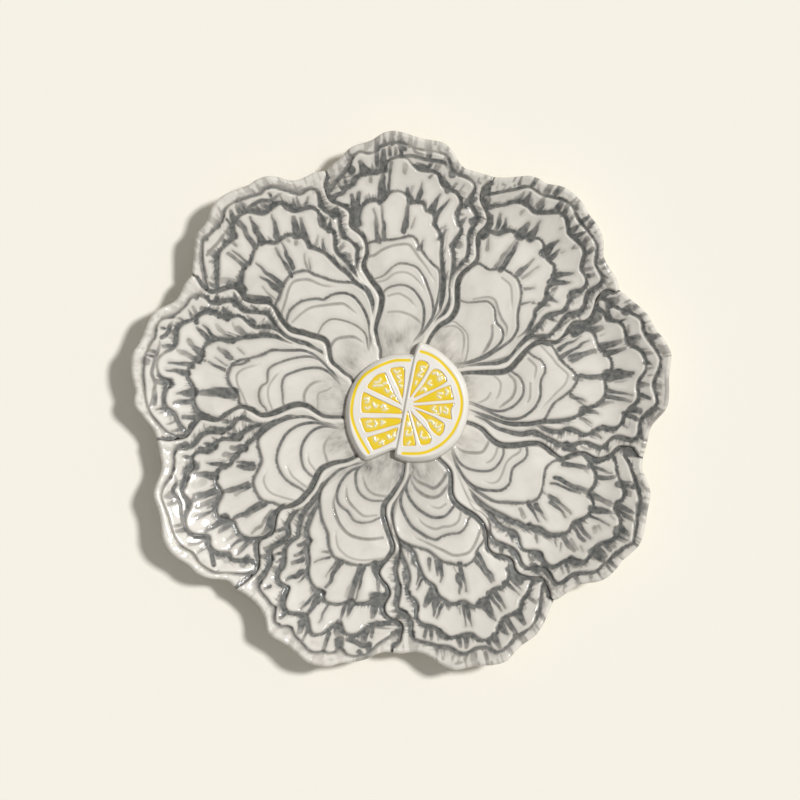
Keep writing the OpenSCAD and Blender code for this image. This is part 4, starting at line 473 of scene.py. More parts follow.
# Growth rings of each shell: strength of the wash at both ends, then the line. A ring that starts
# at the far left goes all the way round and is a step; the others are only scratched and stained.
growth_rings = [
    [(2, 6, [(-16, 45.5), (-10, 46.5), (-7, 47.5), (-5, 49), (-3, 51), (-1, 52), (1, 52), (4, 51.3), (6, 50),
     (8, 47), (9.5, 43), (10.8, 39), (11.2, 35), (10.2, 31), (7.5, 27), (4.6, 24), (2.4, 20)]),
     (3, 6, [(-12, 37), (-7, 41), (-5, 43), (-2, 44), (1, 44), (4, 42.5), (6, 40), (7.5, 37), (7.8, 33),
     (7, 28), (4.8, 24.6), (2, 20)]), (3, 2, [(-13, 55), (-10, 55.5), (-7, 57.5), (-3, 59), (2, 59.5),
     (4, 58), (6, 55), (9, 51), (12, 46)]), (1, 1, [(-10, 45.5), (-6, 46.3), (-3, 48.5), (0, 49.2),
     (3, 48.5), (6, 46), (8, 43)]), (1, 1, [(-5, 40.5), (-2, 41.3), (0, 41), (3, 39), (5, 36.5)]),
     (1, 3, [(-5, 34.5), (-1, 34.7), (3, 33.5), (6, 31.5), (7, 30)])],
    [(3, 6, [(-14, 42), (-7, 43.8), (-4, 46), (-2, 48), (0, 49.5), (3, 49), (5, 47), (7, 45.5), (10, 45),
     (12, 43), (12.4, 39.5), (11.4, 35), (9.6, 31), (7, 27), (4.6, 24), (2.4, 20)]), (1, 2, [(-12, 33),
     (-6, 35.5), (-4, 36.2), (1, 35.8), (4, 33), (6, 30), (7, 27), (4.4, 24.4), (1.8, 20)]),
     (1, 4, [(-5, 47), (-2, 50.5), (0, 51.7), (2, 51.5), (5, 49.5), (8, 48), (11, 47), (13, 44)]),
     (1, 1, [(-2, 59.8), (2, 59.7), (5, 57), (8, 53.5)]), (2, 5, [(6.5, 44), (9, 41), (10.2, 37),
     (10.5, 32.5)]), (1, 2, [(-7, 32), (-4, 35), (0, 35), (3, 32), (5, 28)])],
    [(4, 6, [(-16, 46), (-10, 50), (-7.5, 53), (-5, 54), (-3, 53.5), (-1, 52), (2, 51), (5, 50.5), (8, 48.5),
     (10, 46), (11.5, 42), (11, 38), (9, 34), (5.6, 29), (3.4, 25), (2, 20)]), (4, 5, [(-12, 36), (-5, 42),
     (-3, 44), (0, 45), (3, 44.5), (5, 43), (7, 40), (7.8, 36), (6.6, 32), (4.3, 28), (2.6, 25), (1.5, 20)]),
     (1, 1, [(-12, 55), (-8, 57.5), (-5, 59), (-1, 62), (1, 61.5), (3, 60), (5, 57), (8, 53), (10, 50)]),
     (2, 1, [(-9, 49), (-6, 51), (-4, 50.8), (-1, 49.5)]), (1, 2, [(0, 48), (5, 47), (7, 45.5)]),
     (2, 4, [(-4.5, 41), (-2, 42.5), (1, 42.3), (4, 40.5), (6, 37), (7, 35)]), (1, 1, [(-5, 35.5),
     (-2, 37.3), (2, 36), (4, 34)]), (1, 2, [(1, 33), (3, 31), (4, 27)])],
    [(4, 6, [(-17, 45), (-10, 47), (-8, 48.3), (-6, 48.5), (-4, 47.8), (-2, 46.8), (0, 46.5), (3, 47.5),
     (5, 48.2), (8, 47), (10, 44), (11.5, 40), (11.6, 35.5), (9.6, 30.5), (6.8, 26.5), (4.5, 24),
     (2.4, 20)]), (4, 5, [(-12, 36), (-5, 40), (-3, 41), (0, 41.2), (3, 40.5), (5, 38.5), (7, 34), (7.2, 30),
     (5.6, 26.5), (3.8, 24), (1.8, 20)]), (2, 1, [(-9, 45.5), (-7, 46), (-4, 44.5), (-1, 43.8), (3, 44.5),
     (6, 44.5), (8, 43), (9, 40)]), (2, 1, [(-5, 38), (-2, 38.8), (1, 38.5), (3, 37)]), (2, 5, [(-6, 34),
     (-3, 34.5), (0, 34), (2, 31), (3.2, 28), (3, 25)])],
    [(4, 6, [(-16, 44), (-9, 47), (-7, 49.3), (-4, 50.7), (-1, 50), (2, 49.7), (5, 50), (7, 48.5), (9, 46),
     (11, 43), (12, 39), (12.1, 34), (10.4, 30.5), (7, 27), (4.6, 24), (2.4, 20)]), (5, 6, [(-12, 36),
     (-5, 41), (-2, 42.7), (0, 43), (3, 42), (5, 40), (7, 37), (8.3, 33), (8.2, 29), (6, 26), (3.8, 23.6),
     (1.8, 20)]), (3, 3, [(-11.5, 53), (-8, 57), (-5, 59), (-2, 59), (1, 58), (4, 55), (8, 51), (12, 47)]),
     (2, 2, [(-7, 44.5), (-5, 47), (-2, 47.7), (1, 47), (4, 46.7), (7, 44), (8.5, 41)]), (1, 1, [(-3, 39.5),
     (0, 40), (3, 38)]), (4, 5, [(-5, 34), (-2, 35.7), (1, 35.5), (4, 33), (6, 29), (6, 25)]),
     (5, 4, [(-6, 30), (-4, 31.5), (-1, 32.5), (1, 31), (4, 28), (5, 25), (4, 23)])],
    [(3, 6, [(-12, 37), (-6, 41.5), (-4, 43.5), (-1, 45), (2, 45.2), (5, 43), (8, 42), (10, 40.5),
     (11, 37.5), (10.8, 33.5), (9.2, 29.5), (6.6, 26.6), (4.2, 24), (1.8, 20)]), (3, 6, [(-12, 33), (-5, 35),
     (-2, 36), (1, 36), (4, 34.5), (6, 31.5), (6.8, 28), (5, 24.6), (1.6, 20)]), (1, 1, [(-12, 55.5),
     (-8, 57.5), (-4, 58.8), (0, 58.8), (4, 57), (6, 54), (7, 52)]), (3, 5, [(-10, 48), (-6, 50), (-2, 51),
     (2, 51), (6, 49), (9, 46), (11.4, 42), (12, 38)]), (1, 4, [(-5, 41), (-1, 42.8), (3, 41.5), (7, 39),
     (9, 35)]), (2, 3, [(-6, 33.3), (-2, 34), (1, 33.3), (3, 31.5), (5, 29)])],
    [(4, 6, [(-16, 44), (-9, 46.5), (-6, 48), (-3, 49.7), (0, 50.3), (4, 50), (7, 48.5), (10, 45), (12, 41),
     (12.2, 36), (10.2, 31), (7, 27), (4.6, 24), (2.4, 20)]), (4, 6, [(-12, 38), (-6, 41), (-3, 42),
     (-1, 42), (2, 41), (5, 39), (7, 36), (8, 32), (7, 28), (4.2, 24.4), (1.8, 20)]), (1, 1, [(-10, 52),
     (-7, 55), (-4, 57.5), (-1, 58.2), (2, 57.5), (4, 55)]), (2, 1, [(-9, 45), (-5, 46.8), (-2, 47.8),
     (2, 47.6)]), (1, 1, [(-4, 39.5), (-1, 39.8), (2, 38.8)]), (3, 2, [(-5, 34), (-2, 33.5), (1, 32.5),
     (3, 30), (4, 27)])],
    [(3, 5, [(-17, 45), (-10, 48.5), (-8, 50.8), (-5, 52.2), (-2, 51.7), (0, 50), (4, 50.3), (6, 49),
     (8, 46), (10, 42), (11.5, 37), (11.2, 33), (9.2, 29.5), (6.6, 26.5), (4.6, 24), (2.4, 20)]),
     (3, 6, [(-13, 39), (-7, 42.5), (-4, 43.3), (0, 44.3), (3, 43.8), (5, 41), (7, 37), (8, 32), (6.8, 28),
     (4.2, 24.4), (1.8, 20)]), (1, 2, [(-10, 56), (-6, 58.5), (-3, 60.7), (0, 61.7), (2, 61), (4, 58.5),
     (6, 54)]), (1, 1, [(-9, 47), (-6, 48.7), (-2, 49.5), (2, 48), (5, 46)]), (3, 3, [(-5, 35.5), (-2, 36),
     (1, 35), (3, 33), (4, 30)]), (1, 2, [(-5, 30.5), (-1, 31), (1, 28), (3, 26)])],
    [(4, 6, [(-18, 47), (-12, 51), (-9, 52.8), (-5, 53), (-2, 52), (1, 50), (3, 48), (6, 47.5), (9, 46),
     (11, 44), (12, 41), (11.6, 36), (9.8, 31), (7, 27), (4.6, 24), (2.4, 20)]), (2, 4, [(-12, 37),
     (-5, 40.5), (-2, 41.3), (1, 40.5), (4, 37), (6, 33), (6.5, 29), (5, 26), (3.8, 23.8), (1.8, 20)]),
     (2, 3, [(-12, 54.5), (-8, 57), (-4, 59.7), (-1, 60.5), (2, 59), (4, 57), (6, 53), (9, 49.5)]),
     (1, 4, [(-11, 49.5), (-6, 49.7), (-2, 49), (3, 46), (6, 44), (8, 42), (9, 37)]), (3, 4, [(-6, 33.5),
     (-3, 34.3), (0, 33), (3, 30.5), (4, 27)])]]
# Pleats and brush marks: from the outer end (x, y) to the inner end, the half width at both ends
# in tenths, and the strength of the wash in tenths, which also sets the painted shade round each mark
pleats = [
    [(-10.2, 72.5, -8.3, 60.5, 3, 8, 7), (-7.2, 73.5, -6.3, 62, 4, 6, 7), (2.3, 74, 0.8, 64.5, 5, 9, 9),
     (4.8, 69, 3.5, 65.5, 3, 4, 4), (8, 61, 6.8, 58, 3, 8, 8), (-7, 85, -7, 77, 4, 13, 9),
     (-4, 89, -4.8, 79, 4, 5, 8), (2.5, 80, 3.3, 75.5, 5, 12, 10), (7.8, 82, 6.2, 75.5, 3, 9, 9),
     (-11.5, 85, -11.5, 82.5, 5, 5, 5), (11.8, 85.3, 10.3, 84, 3, 4, 6), (13.8, 77.3, 11.3, 72, 4, 12, 10),
     (17.5, 75.8, 12.8, 70.3, 2, 8, 9), (4, 80.5, 3.3, 78, 5, 6, 4), (-18, 78, -17.2, 68, 5, 14, 10),
     (-15.5, 78.5, -16, 72, 5, 12, 10), (16.5, 66.5, 14, 65, 3, 5, 5), (16.8, 65, 14.2, 61.5, 3, 8, 8),
     (16, 62.5, 15, 60.5, 2, 4, 6), (1.5, 88, 1, 85.5, 8, 5, 3), (-21, 84, -20, 81, 4, 5, 8),
     (-22.7, 82, -21.5, 79.5, 4, 6, 8), (-19.3, 88.5, -18.6, 86.3, 6, 12, 9),
     (-15.2, 89.5, -13, 86.3, 5, 13, 9), (-9, 93.3, -9, 88, 6, 6, 9), (-6.8, 93.5, -6.6, 87, 6, 12, 10),
     (-4.6, 94.7, -4.5, 92, 5, 6, 8), (-2.2, 94.8, -2.4, 92, 4, 4, 7), (-0.3, 95, -0.4, 91.8, 6, 5, 9),
     (1.2, 95.8, 1, 94.5, 9, 9, 9), (9.8, 92.3, 9.8, 91.2, 8, 8, 7), (6, 89, 8, 87.3, 6, 10, 9),
     (11, 89, 10, 87.5, 4, 6, 8), (14, 89.3, 12.5, 86.5, 8, 9, 6), (17.3, 88, 18.8, 85.3, 6, 11, 8),
     (20, 81.5, 18.5, 79.5, 4, 5, 7), (22.5, 80.8, 21.3, 78.8, 2, 3, 5), (15.5, 83.5, 16.8, 80, 6, 12, 9),
     (27.3, 76, 24.8, 74.8, 5, 13, 9), (29, 71, 26.5, 68, 4, 13, 9), (22.5, 75, 20.8, 71, 5, 9, 8),
     (23.8, 69.3, 21.3, 67, 3, 9, 7), (21, 62.5, 18.8, 59, 4, 10, 9), (26.3, 66, 25.3, 59.5, 5, 6, 6),
     (-12.3, 96, -13, 94.8, 12, 8, 4), (-9, 97.5, -8.8, 94.5, 6, 9, 8), (-6.2, 98.3, -6.2, 96.2, 5, 6, 9),
     (-3.3, 99.5, -3.3, 96.8, 6, 11, 7), (-0.7, 98.5, 0, 96.5, 6, 10, 6), (3, 98, 3.5, 95.8, 5, 8, 5),
     (5.4, 97.5, 5.2, 96, 4, 5, 4), (9.8, 96.2, 9.8, 94.5, 8, 9, 4), (13.7, 95.3, 13.5, 94, 4, 5, 4),
     (-19.2, 93, -18.2, 91.5, 4, 7, 9), (-20, 91.3, -19.3, 89.5, 4, 8, 8), (-23.3, 88.5, -22.7, 87, 6, 8, 5),
     (-25.6, 86, -25, 82.5, 6, 8, 5), (-28, 84, -26.5, 80, 6, 10, 8), (22.8, 87.2, 21.3, 84.9, 4, 6, 8),
     (16.8, 92.5, 16.2, 90, 5, 7, 5), (20.5, 88.5, 19.8, 86, 4, 6, 5)],
    [(-16, 69.5, -13, 64.5, 3, 5, 5), (-7.3, 74.5, -6.3, 61.5, 3, 5, 6), (-6, 73.5, -4.2, 62.5, 5, 11, 9),
     (2.6, 72.5, 1.9, 65, 3, 9, 7), (5.5, 71.5, 4, 65, 3, 5, 5), (9.2, 64.3, 7, 62, 3, 5, 6),
     (14, 60.5, 12.8, 60, 2, 4, 6), (11.8, 59.5, 9.8, 57.3, 3, 4, 7), (-11.2, 84.3, -12, 82.5, 4, 4, 3),
     (-7.3, 81.5, -7.3, 76, 5, 14, 9), (-4.3, 84.5, -3.8, 78, 4, 14, 9), (5, 83.5, 4, 76.8, 4, 13, 9),
     (7.8, 81, 6.8, 76.8, 3, 9, 8), (9.5, 81.7, 9, 80.5, 3, 3, 3), (3.8, 89, 2.8, 86.8, 3, 3, 3),
     (11.5, 85.8, 11, 84.3, 8, 3, 5), (17, 78, 12, 72.5, 3, 10, 9), (18, 74.7, 13, 70.5, 3, 12, 10),
     (15.5, 70, 14.5, 68.2, 2, 4, 7), (19, 66.2, 15.5, 65, 3, 12, 9), (18, 63, 15.5, 61.5, 4, 8, 8),
     (-17.3, 77.8, -15, 72.8, 4, 7, 8), (-14.5, 77.5, -13, 74, 3, 8, 8), (-19.5, 74.5, -17, 68, 8, 14, 10),
     (-14.2, 90, -13, 86.8, 4, 9, 8), (-16, 88.7, -14.8, 86, 3, 6, 6), (-9, 92, -8.3, 88.8, 5, 11, 8),
     (-2.8, 95, -2.5, 91.8, 7, 9, 9), (-0.2, 95.3, 0, 91.5, 7, 7, 8), (3.6, 94.2, 3.4, 92.6, 5, 5, 6),
     (7.5, 93, 6.8, 89.5, 4, 7, 9), (10.8, 91.8, 8.5, 88.5, 4, 9, 9), (13, 91, 13, 89, 6, 6, 7),
     (16.8, 89.5, 16, 87.5, 6, 6, 9), (18, 85, 17.5, 83.5, 5, 5, 8), (21, 83.5, 19.5, 81.5, 5, 6, 6),
     (23, 82, 21.5, 80.5, 5, 6, 8), (-20.5, 80, -21.5, 78, 6, 10, 6), (-24.5, 79, -24, 77.5, 8, 10, 8),
     (27.8, 83.5, 26.6, 77.5, 4, 8, 6), (28.3, 76.5, 26, 76.5, 3, 9, 7), (30, 72, 27.8, 70.8, 3, 8, 8),
     (29.2, 69.3, 27, 66, 3, 8, 8), (26.8, 64, 25.5, 60, 3, 6, 7), (27.8, 84.3, 25.5, 84, 4, 5, 9),
     (23.2, 73, 21.5, 70.5, 8, 10, 8), (24, 60.5, 20.5, 59.5, 3, 6, 8), (-20, 91.5, -19.2, 89.8, 3, 5, 7),
     (-15.2, 95, -15, 93, 7, 7, 8), (-13.3, 94.5, -12.2, 93, 4, 4, 5), (-10, 97, -9.5, 94.5, 6, 9, 7),
     (-6.8, 98.3, -7, 96.3, 8, 8, 8), (-0.2, 98.5, -0.2, 97, 4, 4, 6), (1.5, 98.5, 2.5, 97, 5, 9, 7),
     (8.5, 97, 7.5, 95.2, 4, 8, 8), (10, 96.7, 10.8, 94.8, 7, 8, 8), (17.5, 92, 18, 90, 3, 3, 5),
     (22, 88.5, 22, 87, 6, 6, 7), (24.6, 87.2, 24.2, 86, 5, 5, 6), (-25, 85.5, -24.3, 84, 2, 3, 3),
     (-22.5, 86.2, -22, 85, 2, 3, 3), (-28.5, 84, -26.5, 80, 8, 10, 8)],
    [(-11.5, 72, -7.5, 60.5, 2, 7, 8), (-14, 70, -10.3, 60.5, 2, 6, 8), (-7.6, 73.5, -6.3, 64.5, 8, 11, 8),
     (2.3, 74.5, 0.8, 66.5, 9, 6, 9), (2.3, 67, 1, 65, 6, 10, 7), (10, 66.5, 7, 62, 3, 7, 8),
     (11.5, 66.2, 7.5, 62.5, 2, 4, 7), (-9.5, 83.5, -8.5, 76.5, 5, 12, 8), (-7, 84.5, -5.8, 77.5, 4, 9, 8),
     (-12.7, 78, -12.5, 76.5, 2, 2, 3), (3, 86, 2.2, 77, 5, 18, 9), (4.2, 85, 3.2, 79, 4, 8, 8),
     (5.2, 83, 5, 79, 2, 3, 4), (11, 84, 7.8, 76, 3, 6, 8), (13.2, 83, 10, 75.5, 3, 8, 8),
     (12.5, 77, 11.8, 71.5, 3, 8, 5), (-20, 76.5, -16.5, 68, 14, 18, 10), (-15.5, 77, -15.5, 74.5, 8, 8, 8),
     (15.3, 70.5, 12.8, 65.5, 4, 12, 8), (18.5, 67.3, 15.3, 64, 2, 5, 8), (19.5, 67, 16, 63.8, 2, 3, 6),
     (-17.2, 86.3, -16.7, 84.8, 3, 4, 8), (-22.5, 80.8, -18.5, 80.5, 8, 13, 9), (-14, 87, -12, 86, 5, 5, 6),
     (-11, 87, -9.7, 86, 3, 6, 6), (-9.5, 89.5, -9, 86.5, 9, 15, 8), (-6.2, 89.5, -6.5, 87, 3, 6, 8),
     (-3.3, 94, -3.8, 91, 3, 6, 5), (-5, 92, -5.5, 90, 3, 4, 6), (0.8, 92.8, -0.5, 91.3, 3, 6, 8),
     (2, 93, 2, 91.3, 3, 4, 6), (5, 93, 4.5, 91, 3, 3, 4), (8.3, 90.8, 7.5, 88, 5, 10, 8),
     (13, 90, 11.3, 87.5, 4, 7, 9), (12, 86.8, 14, 85.8, 3, 3, 6), (17, 86, 16, 83, 9, 10, 9),
     (19.5, 84.5, 17, 80, 5, 9, 9), (22.5, 80.5, 20.5, 79, 3, 4, 6), (22.5, 75, 20.8, 72, 5, 9, 8),
     (28, 85.3, 25.5, 84.5, 3, 7, 9), (28, 83.5, 26.5, 80, 4, 8, 7), (29.7, 71.8, 27.3, 71.3, 3, 6, 8),
     (24.5, 70.3, 21.5, 67.5, 3, 8, 8), (24.3, 68.5, 22, 66, 2, 4, 6), (28, 66, 26, 63, 3, 4, 5),
     (28, 61, 25, 57.5, 5, 14, 9), (-24.3, 84.3, -23.8, 82, 10, 14, 9), (-28.3, 83.5, -26.5, 80, 7, 10, 9),
     (-21, 89.3, -20, 87, 12, 12, 9), (-17.8, 92.5, -17, 91, 6, 5, 7), (-9.2, 96.7, -8.8, 94.3, 6, 12, 10),
     (-3.6, 99, -4, 96.5, 9, 12, 5), (-2.2, 99, -2.2, 98, 4, 4, 7), (3, 96.2, 3, 95.2, 5, 3, 6),
     (5.5, 96, 5.3, 95, 3, 3, 6), (9, 94.8, 8.6, 93, 6, 6, 7), (12, 94, 11.5, 92.8, 5, 6, 7),
     (14.7, 94, 14.3, 93, 3, 3, 6), (17, 92.3, 18.7, 88.5, 5, 6, 10), (-4.5, 97.8, -5, 96.3, 3, 3, 5),
     (21.5, 86.5, 20.5, 86, 3, 4, 7)],
    [(-6.8, 74.3, -5.6, 62, 9, 6, 9), (-5, 72.5, -3, 61.5, 5, 4, 8), (3, 73.3, 1.5, 64, 4, 8, 7),
     (5, 73, 3.2, 65, 3, 6, 8), (1.5, 64, 1.3, 60.5, 2, 4, 4), (10, 67, 7, 61, 3, 8, 8),
     (12, 65.2, 7.5, 58.5, 2, 7, 9), (-14.3, 71, -11, 62, 6, 8, 9), (-13, 71.5, -13, 69.5, 3, 3, 4),
     (13, 59.5, 11, 57, 5, 5, 5), (-16.5, 80.5, -13, 75.5, 5, 8, 9), (-17.3, 79, -15.3, 71, 2, 8, 8),
     (-7, 85, -6.5, 76.5, 7, 12, 7), (-4.8, 86.5, -2.5, 80, 5, 13, 9), (0, 88, 0.3, 80, 3, 4, 8),
     (-3, 88.5, -3.5, 86.5, 2, 2, 5), (7, 84, 4.8, 77.5, 5, 9, 9), (9, 82.5, 7, 76.3, 6, 6, 9),
     (2.6, 86, 2.3, 84.8, 4, 4, 4), (4.3, 84.8, 3.5, 84, 6, 6, 4), (12.5, 84.5, 11.5, 83, 3, 3, 4),
     (14.5, 81, 11.5, 75, 6, 9, 7), (13, 82, 11.5, 79, 5, 5, 4), (16.8, 77.2, 14.3, 75.8, 2, 3, 6),
     (16.5, 75, 14, 72.7, 2, 4, 6), (18.5, 68.5, 15.5, 66.5, 3, 6, 7), (14.8, 68, 14.5, 63, 8, 10, 9),
     (-16.4, 88.5, -15, 83, 4, 9, 8), (-17.8, 87, -15.8, 83, 3, 6, 7), (-8.8, 93, -8, 87, 5, 13, 10),
     (-6.8, 93.5, -5.8, 88, 4, 8, 9), (-6, 94.3, -5.6, 91, 5, 5, 9), (-0.8, 96, -1.5, 92, 4, 10, 9),
     (1, 96.5, 1.3, 93, 2, 4, 9), (0, 93.5, 0.2, 92, 14, 16, 8), (1.8, 96, 2.3, 92.5, 3, 4, 6),
     (7.3, 93, 7, 90, 4, 7, 8), (5, 93, 5.2, 91, 2, 2, 4), (9.8, 92.8, 9, 88.5, 5, 9, 9),
     (11.6, 92.5, 11.2, 87.5, 8, 13, 10), (13, 89, 13, 87.5, 4, 4, 7), (15.5, 88, 15.3, 86.8, 3, 3, 6),
     (16.3, 86.5, 17.5, 81.5, 8, 9, 10), (22, 83.5, 19.7, 80.5, 3, 6, 8), (23.5, 82, 21.5, 79.5, 3, 5, 6),
     (27.5, 81, 26, 76, 4, 10, 9), (28.8, 75.5, 26.8, 72, 4, 12, 8), (25, 70, 24, 68, 3, 3, 7),
     (24.3, 75, 21.8, 71, 5, 12, 9), (28, 67, 25.5, 61, 2, 9, 9), (29.5, 85.3, 26.5, 84.5, 2, 4, 5),
     (30.5, 83.3, 28.5, 82, 3, 3, 4), (28.5, 59, 26, 57.5, 4, 8, 9), (22.5, 60.5, 20, 58, 3, 10, 9),
     (-18.5, 92.2, -19.3, 90.3, 5, 5, 6), (-19, 90, -17, 88.5, 8, 9, 8), (-11.5, 96.7, -12, 94, 13, 15, 7),
     (-8, 96.5, -9, 94.8, 7, 7, 6), (-5, 96.8, -6, 95.7, 7, 7, 5), (-1.5, 99.8, -1.3, 98.3, 4, 4, 6),
     (0, 100.2, 0, 98.8, 4, 4, 5), (1.5, 100, 1.5, 98.3, 4, 5, 7), (11.8, 97, 11, 94.8, 4, 7, 9),
     (14.3, 96.5, 12.7, 94.5, 3, 5, 8), (17.7, 94.5, 16.5, 92.7, 3, 4, 7), (23.8, 88.7, 22.7, 86.5, 8, 8, 8),
     (-28, 84, -26, 79.5, 7, 10, 8), (-16, 64.5, -12.5, 60, 6, 12, 9)],
    [(-10, 72, -7.7, 60.5, 4, 7, 9), (-9, 72.5, -6.2, 62.5, 4, 7, 9), (1, 72, -0.5, 61.8, 3, 7, 9),
     (3.3, 72, 1.5, 66, 4, 8, 9), (1.8, 66, 2, 62.5, 2, 2, 4), (8.5, 65.8, 6, 58.5, 3, 9, 9),
     (9.2, 63, 7, 58, 3, 8, 8), (11, 60, 9.8, 56.5, 3, 7, 8), (-17, 80, -13.5, 74, 2, 8, 9),
     (-18.3, 78.8, -16, 73.5, 2, 7, 8), (-10.5, 83, -9, 75.8, 3, 8, 9), (-8.8, 83.5, -6.5, 76, 3, 9, 9),
     (-5.5, 85.5, -3.5, 78.5, 3, 18, 9), (3.8, 85, 2.2, 77.5, 2, 9, 9), (5.7, 83.8, 3.8, 77, 2, 6, 9),
     (4.5, 80.5, 3.5, 76.3, 5, 8, 7), (6, 79, 5.5, 76.5, 2, 2, 6), (14, 77.3, 11, 74.2, 3, 7, 8),
     (15, 76.3, 12, 70.8, 3, 12, 9), (17, 71.8, 12.8, 68.5, 6, 16, 9), (17.8, 65.5, 14.2, 62.3, 2, 6, 9),
     (17, 63.2, 15, 60, 2, 6, 9), (-19, 76, -17, 70, 9, 9, 10), (-22, 84.5, -20.3, 82.2, 5, 6, 7),
     (-15, 90.3, -14, 86.5, 5, 12, 8), (-11, 91.8, -9.8, 87.5, 7, 10, 9), (-8, 92.3, -6, 89, 3, 12, 9),
     (-8.2, 92.5, -8.1, 88.5, 2, 3, 6), (-3.5, 95.3, -3, 91.5, 7, 12, 8), (-1.2, 94.8, -0.6, 91.5, 2, 8, 8),
     (8, 91.5, 6.8, 87.5, 6, 8, 8), (10, 90.3, 9.5, 87.3, 5, 8, 8), (14, 86, 15.5, 82.5, 8, 10, 9),
     (19, 83.8, 17.5, 81, 4, 8, 8), (21.3, 82.5, 19.3, 80, 4, 6, 9), (25.8, 82.5, 24.5, 79.5, 4, 8, 8),
     (28.5, 72.5, 25.5, 71.5, 5, 12, 9), (22, 74.5, 20.5, 71, 4, 9, 9), (27.5, 67.5, 24, 62, 2, 10, 9),
     (21.5, 61.5, 19.5, 58.5, 2, 8, 8), (22.5, 67.5, 21, 65.5, 3, 6, 8), (-22.3, 91.3, -21.5, 88.5, 6, 8, 9),
     (-17.7, 94.3, -17.3, 93, 5, 5, 5), (-24.5, 86, -23.5, 84, 4, 6, 6), (-12.5, 95.8, -11, 93.8, 8, 10, 8),
     (-6.7, 98.3, -6, 96.3, 9, 7, 6), (-3, 99.8, -3, 98.5, 3, 3, 4), (2.7, 99.3, 1.5, 95.5, 4, 6, 7),
     (6.8, 97, 6.3, 94.3, 8, 9, 6), (9.7, 96.7, 9.2, 94.5, 3, 6, 7), (14.3, 94, 13.5, 92.5, 2, 4, 5),
     (16.7, 91.5, 15.8, 88.8, 2, 4, 7), (19.3, 90.3, 18.3, 87.5, 3, 6, 8), (26, 84.3, 26, 81, 12, 9, 5),
     (-27.8, 86, -26.7, 80, 6, 7, 9)],
    [(-8.5, 72, -7.5, 60.5, 3, 6, 9), (-6.2, 73, -6, 61, 9, 9, 9), (-4.7, 73.5, -5, 67, 4, 4, 4),
     (3.5, 72, 1, 61.5, 4, 9, 9), (5, 68.5, 2.3, 61.5, 2, 6, 7), (10.3, 65, 6, 61, 2, 4, 7),
     (9, 60.5, 7, 59.5, 3, 5, 6), (-15.5, 67.5, -10.8, 58, 3, 13, 9), (-7.8, 79.5, -7.7, 74, 2, 11, 9),
     (-6, 82, -5.6, 76, 3, 7, 8), (1.5, 85, 0, 77.8, 3, 4, 7), (6.5, 84, 4, 75, 4, 14, 9),
     (8.7, 82.8, 6, 75.3, 4, 6, 9), (9.8, 81.3, 9, 80, 3, 3, 4), (-16.5, 77, -15.5, 69.5, 5, 20, 9),
     (-19, 74, -17.5, 68, 6, 8, 9), (13.5, 74, 11.8, 70.5, 2, 6, 8), (18.3, 74.6, 12.5, 69.5, 3, 8, 9),
     (17.8, 68, 14.5, 65.3, 5, 6, 8), (17.8, 65, 14.3, 61.8, 5, 8, 8), (18.2, 61, 14.8, 58, 4, 10, 9),
     (-18.8, 83.3, -17.5, 80, 5, 9, 9), (-16.3, 86, -15.8, 82.5, 9, 12, 9), (-9.3, 93.5, -8, 88.8, 9, 11, 8),
     (-3.7, 93.5, -3.7, 87.5, 6, 7, 8), (4.8, 93, 4, 88.5, 5, 4, 7), (-7.5, 87, -5.8, 83.5, 9, 14, 7),
     (7.3, 91, 7, 87.5, 6, 12, 8), (16.3, 83.5, 16.8, 77.5, 6, 10, 10), (15, 88, 14, 85.5, 6, 6, 8),
     (17, 89, 18, 85.5, 3, 5, 8), (24.5, 80.3, 23, 79, 4, 5, 8), (27.5, 80, 27, 75.5, 10, 8, 9),
     (22.5, 75, 21.5, 68.5, 5, 9, 10), (24, 70, 21.5, 67.5, 3, 8, 8), (25.5, 67.6, 22.2, 65.5, 3, 6, 8),
     (29.5, 70, 26, 69, 6, 11, 9), (29.3, 66.6, 27, 65, 4, 6, 8), (27, 64.5, 23.5, 60.5, 3, 8, 9),
     (27.5, 59, 25, 57, 5, 5, 8), (-26.8, 83.5, -25.8, 79.5, 4, 9, 9), (-20, 89, -19, 87, 9, 12, 9),
     (-17.5, 91, -16, 90, 6, 6, 8), (-10.5, 94.5, -10, 92, 8, 9, 7), (-3.5, 97.3, -3.8, 94.8, 10, 8, 7),
     (-1.3, 98.3, -1.5, 96.8, 4, 4, 8), (5.3, 96.8, 5.3, 94.8, 7, 6, 6), (7.8, 96.2, 8.3, 93.5, 5, 8, 9),
     (15.8, 92.8, 14.5, 91.3, 6, 7, 7), (12, 92, 11, 90.5, 9, 9, 8), (20, 90, 21, 88, 4, 4, 3),
     (28, 80.5, 27.3, 79, 5, 5, 8), (-29, 85, -27, 79, 5, 12, 9)],
    [(-13, 71, -10.3, 60.5, 3, 8, 6), (-15, 68, -12, 60, 4, 16, 9), (-5.3, 73.5, -5.3, 63, 6, 9, 9),
     (-6.8, 70, -6, 61.5, 4, 9, 8), (5.2, 72.5, 3, 63.5, 5, 11, 8), (2.3, 69, 2.3, 62.5, 6, 7, 6),
     (11.2, 63.5, 7.5, 58.5, 4, 9, 9), (12.5, 63, 9, 58, 3, 6, 8), (-16.8, 79.5, -15, 73, 3, 9, 8),
     (-14, 81, -12.6, 75, 2, 8, 9), (-10.8, 80.5, -10, 76.5, 3, 5, 4), (-6.7, 81, -6.2, 76, 7, 9, 8),
     (-4, 85, -3.5, 77.5, 5, 14, 9), (2, 85, 1.2, 80.5, 9, 5, 7), (5.5, 83, 4.5, 76, 6, 9, 6),
     (8.8, 82.5, 7.3, 74.5, 11, 10, 9), (12.5, 80, 12.3, 77, 10, 10, 2), (16, 78, 11.8, 72.3, 8, 11, 9),
     (17.5, 72.5, 13.3, 67.5, 2, 11, 9), (17, 65, 14, 62, 7, 9, 6), (18, 61.5, 15.5, 57.5, 7, 10, 8),
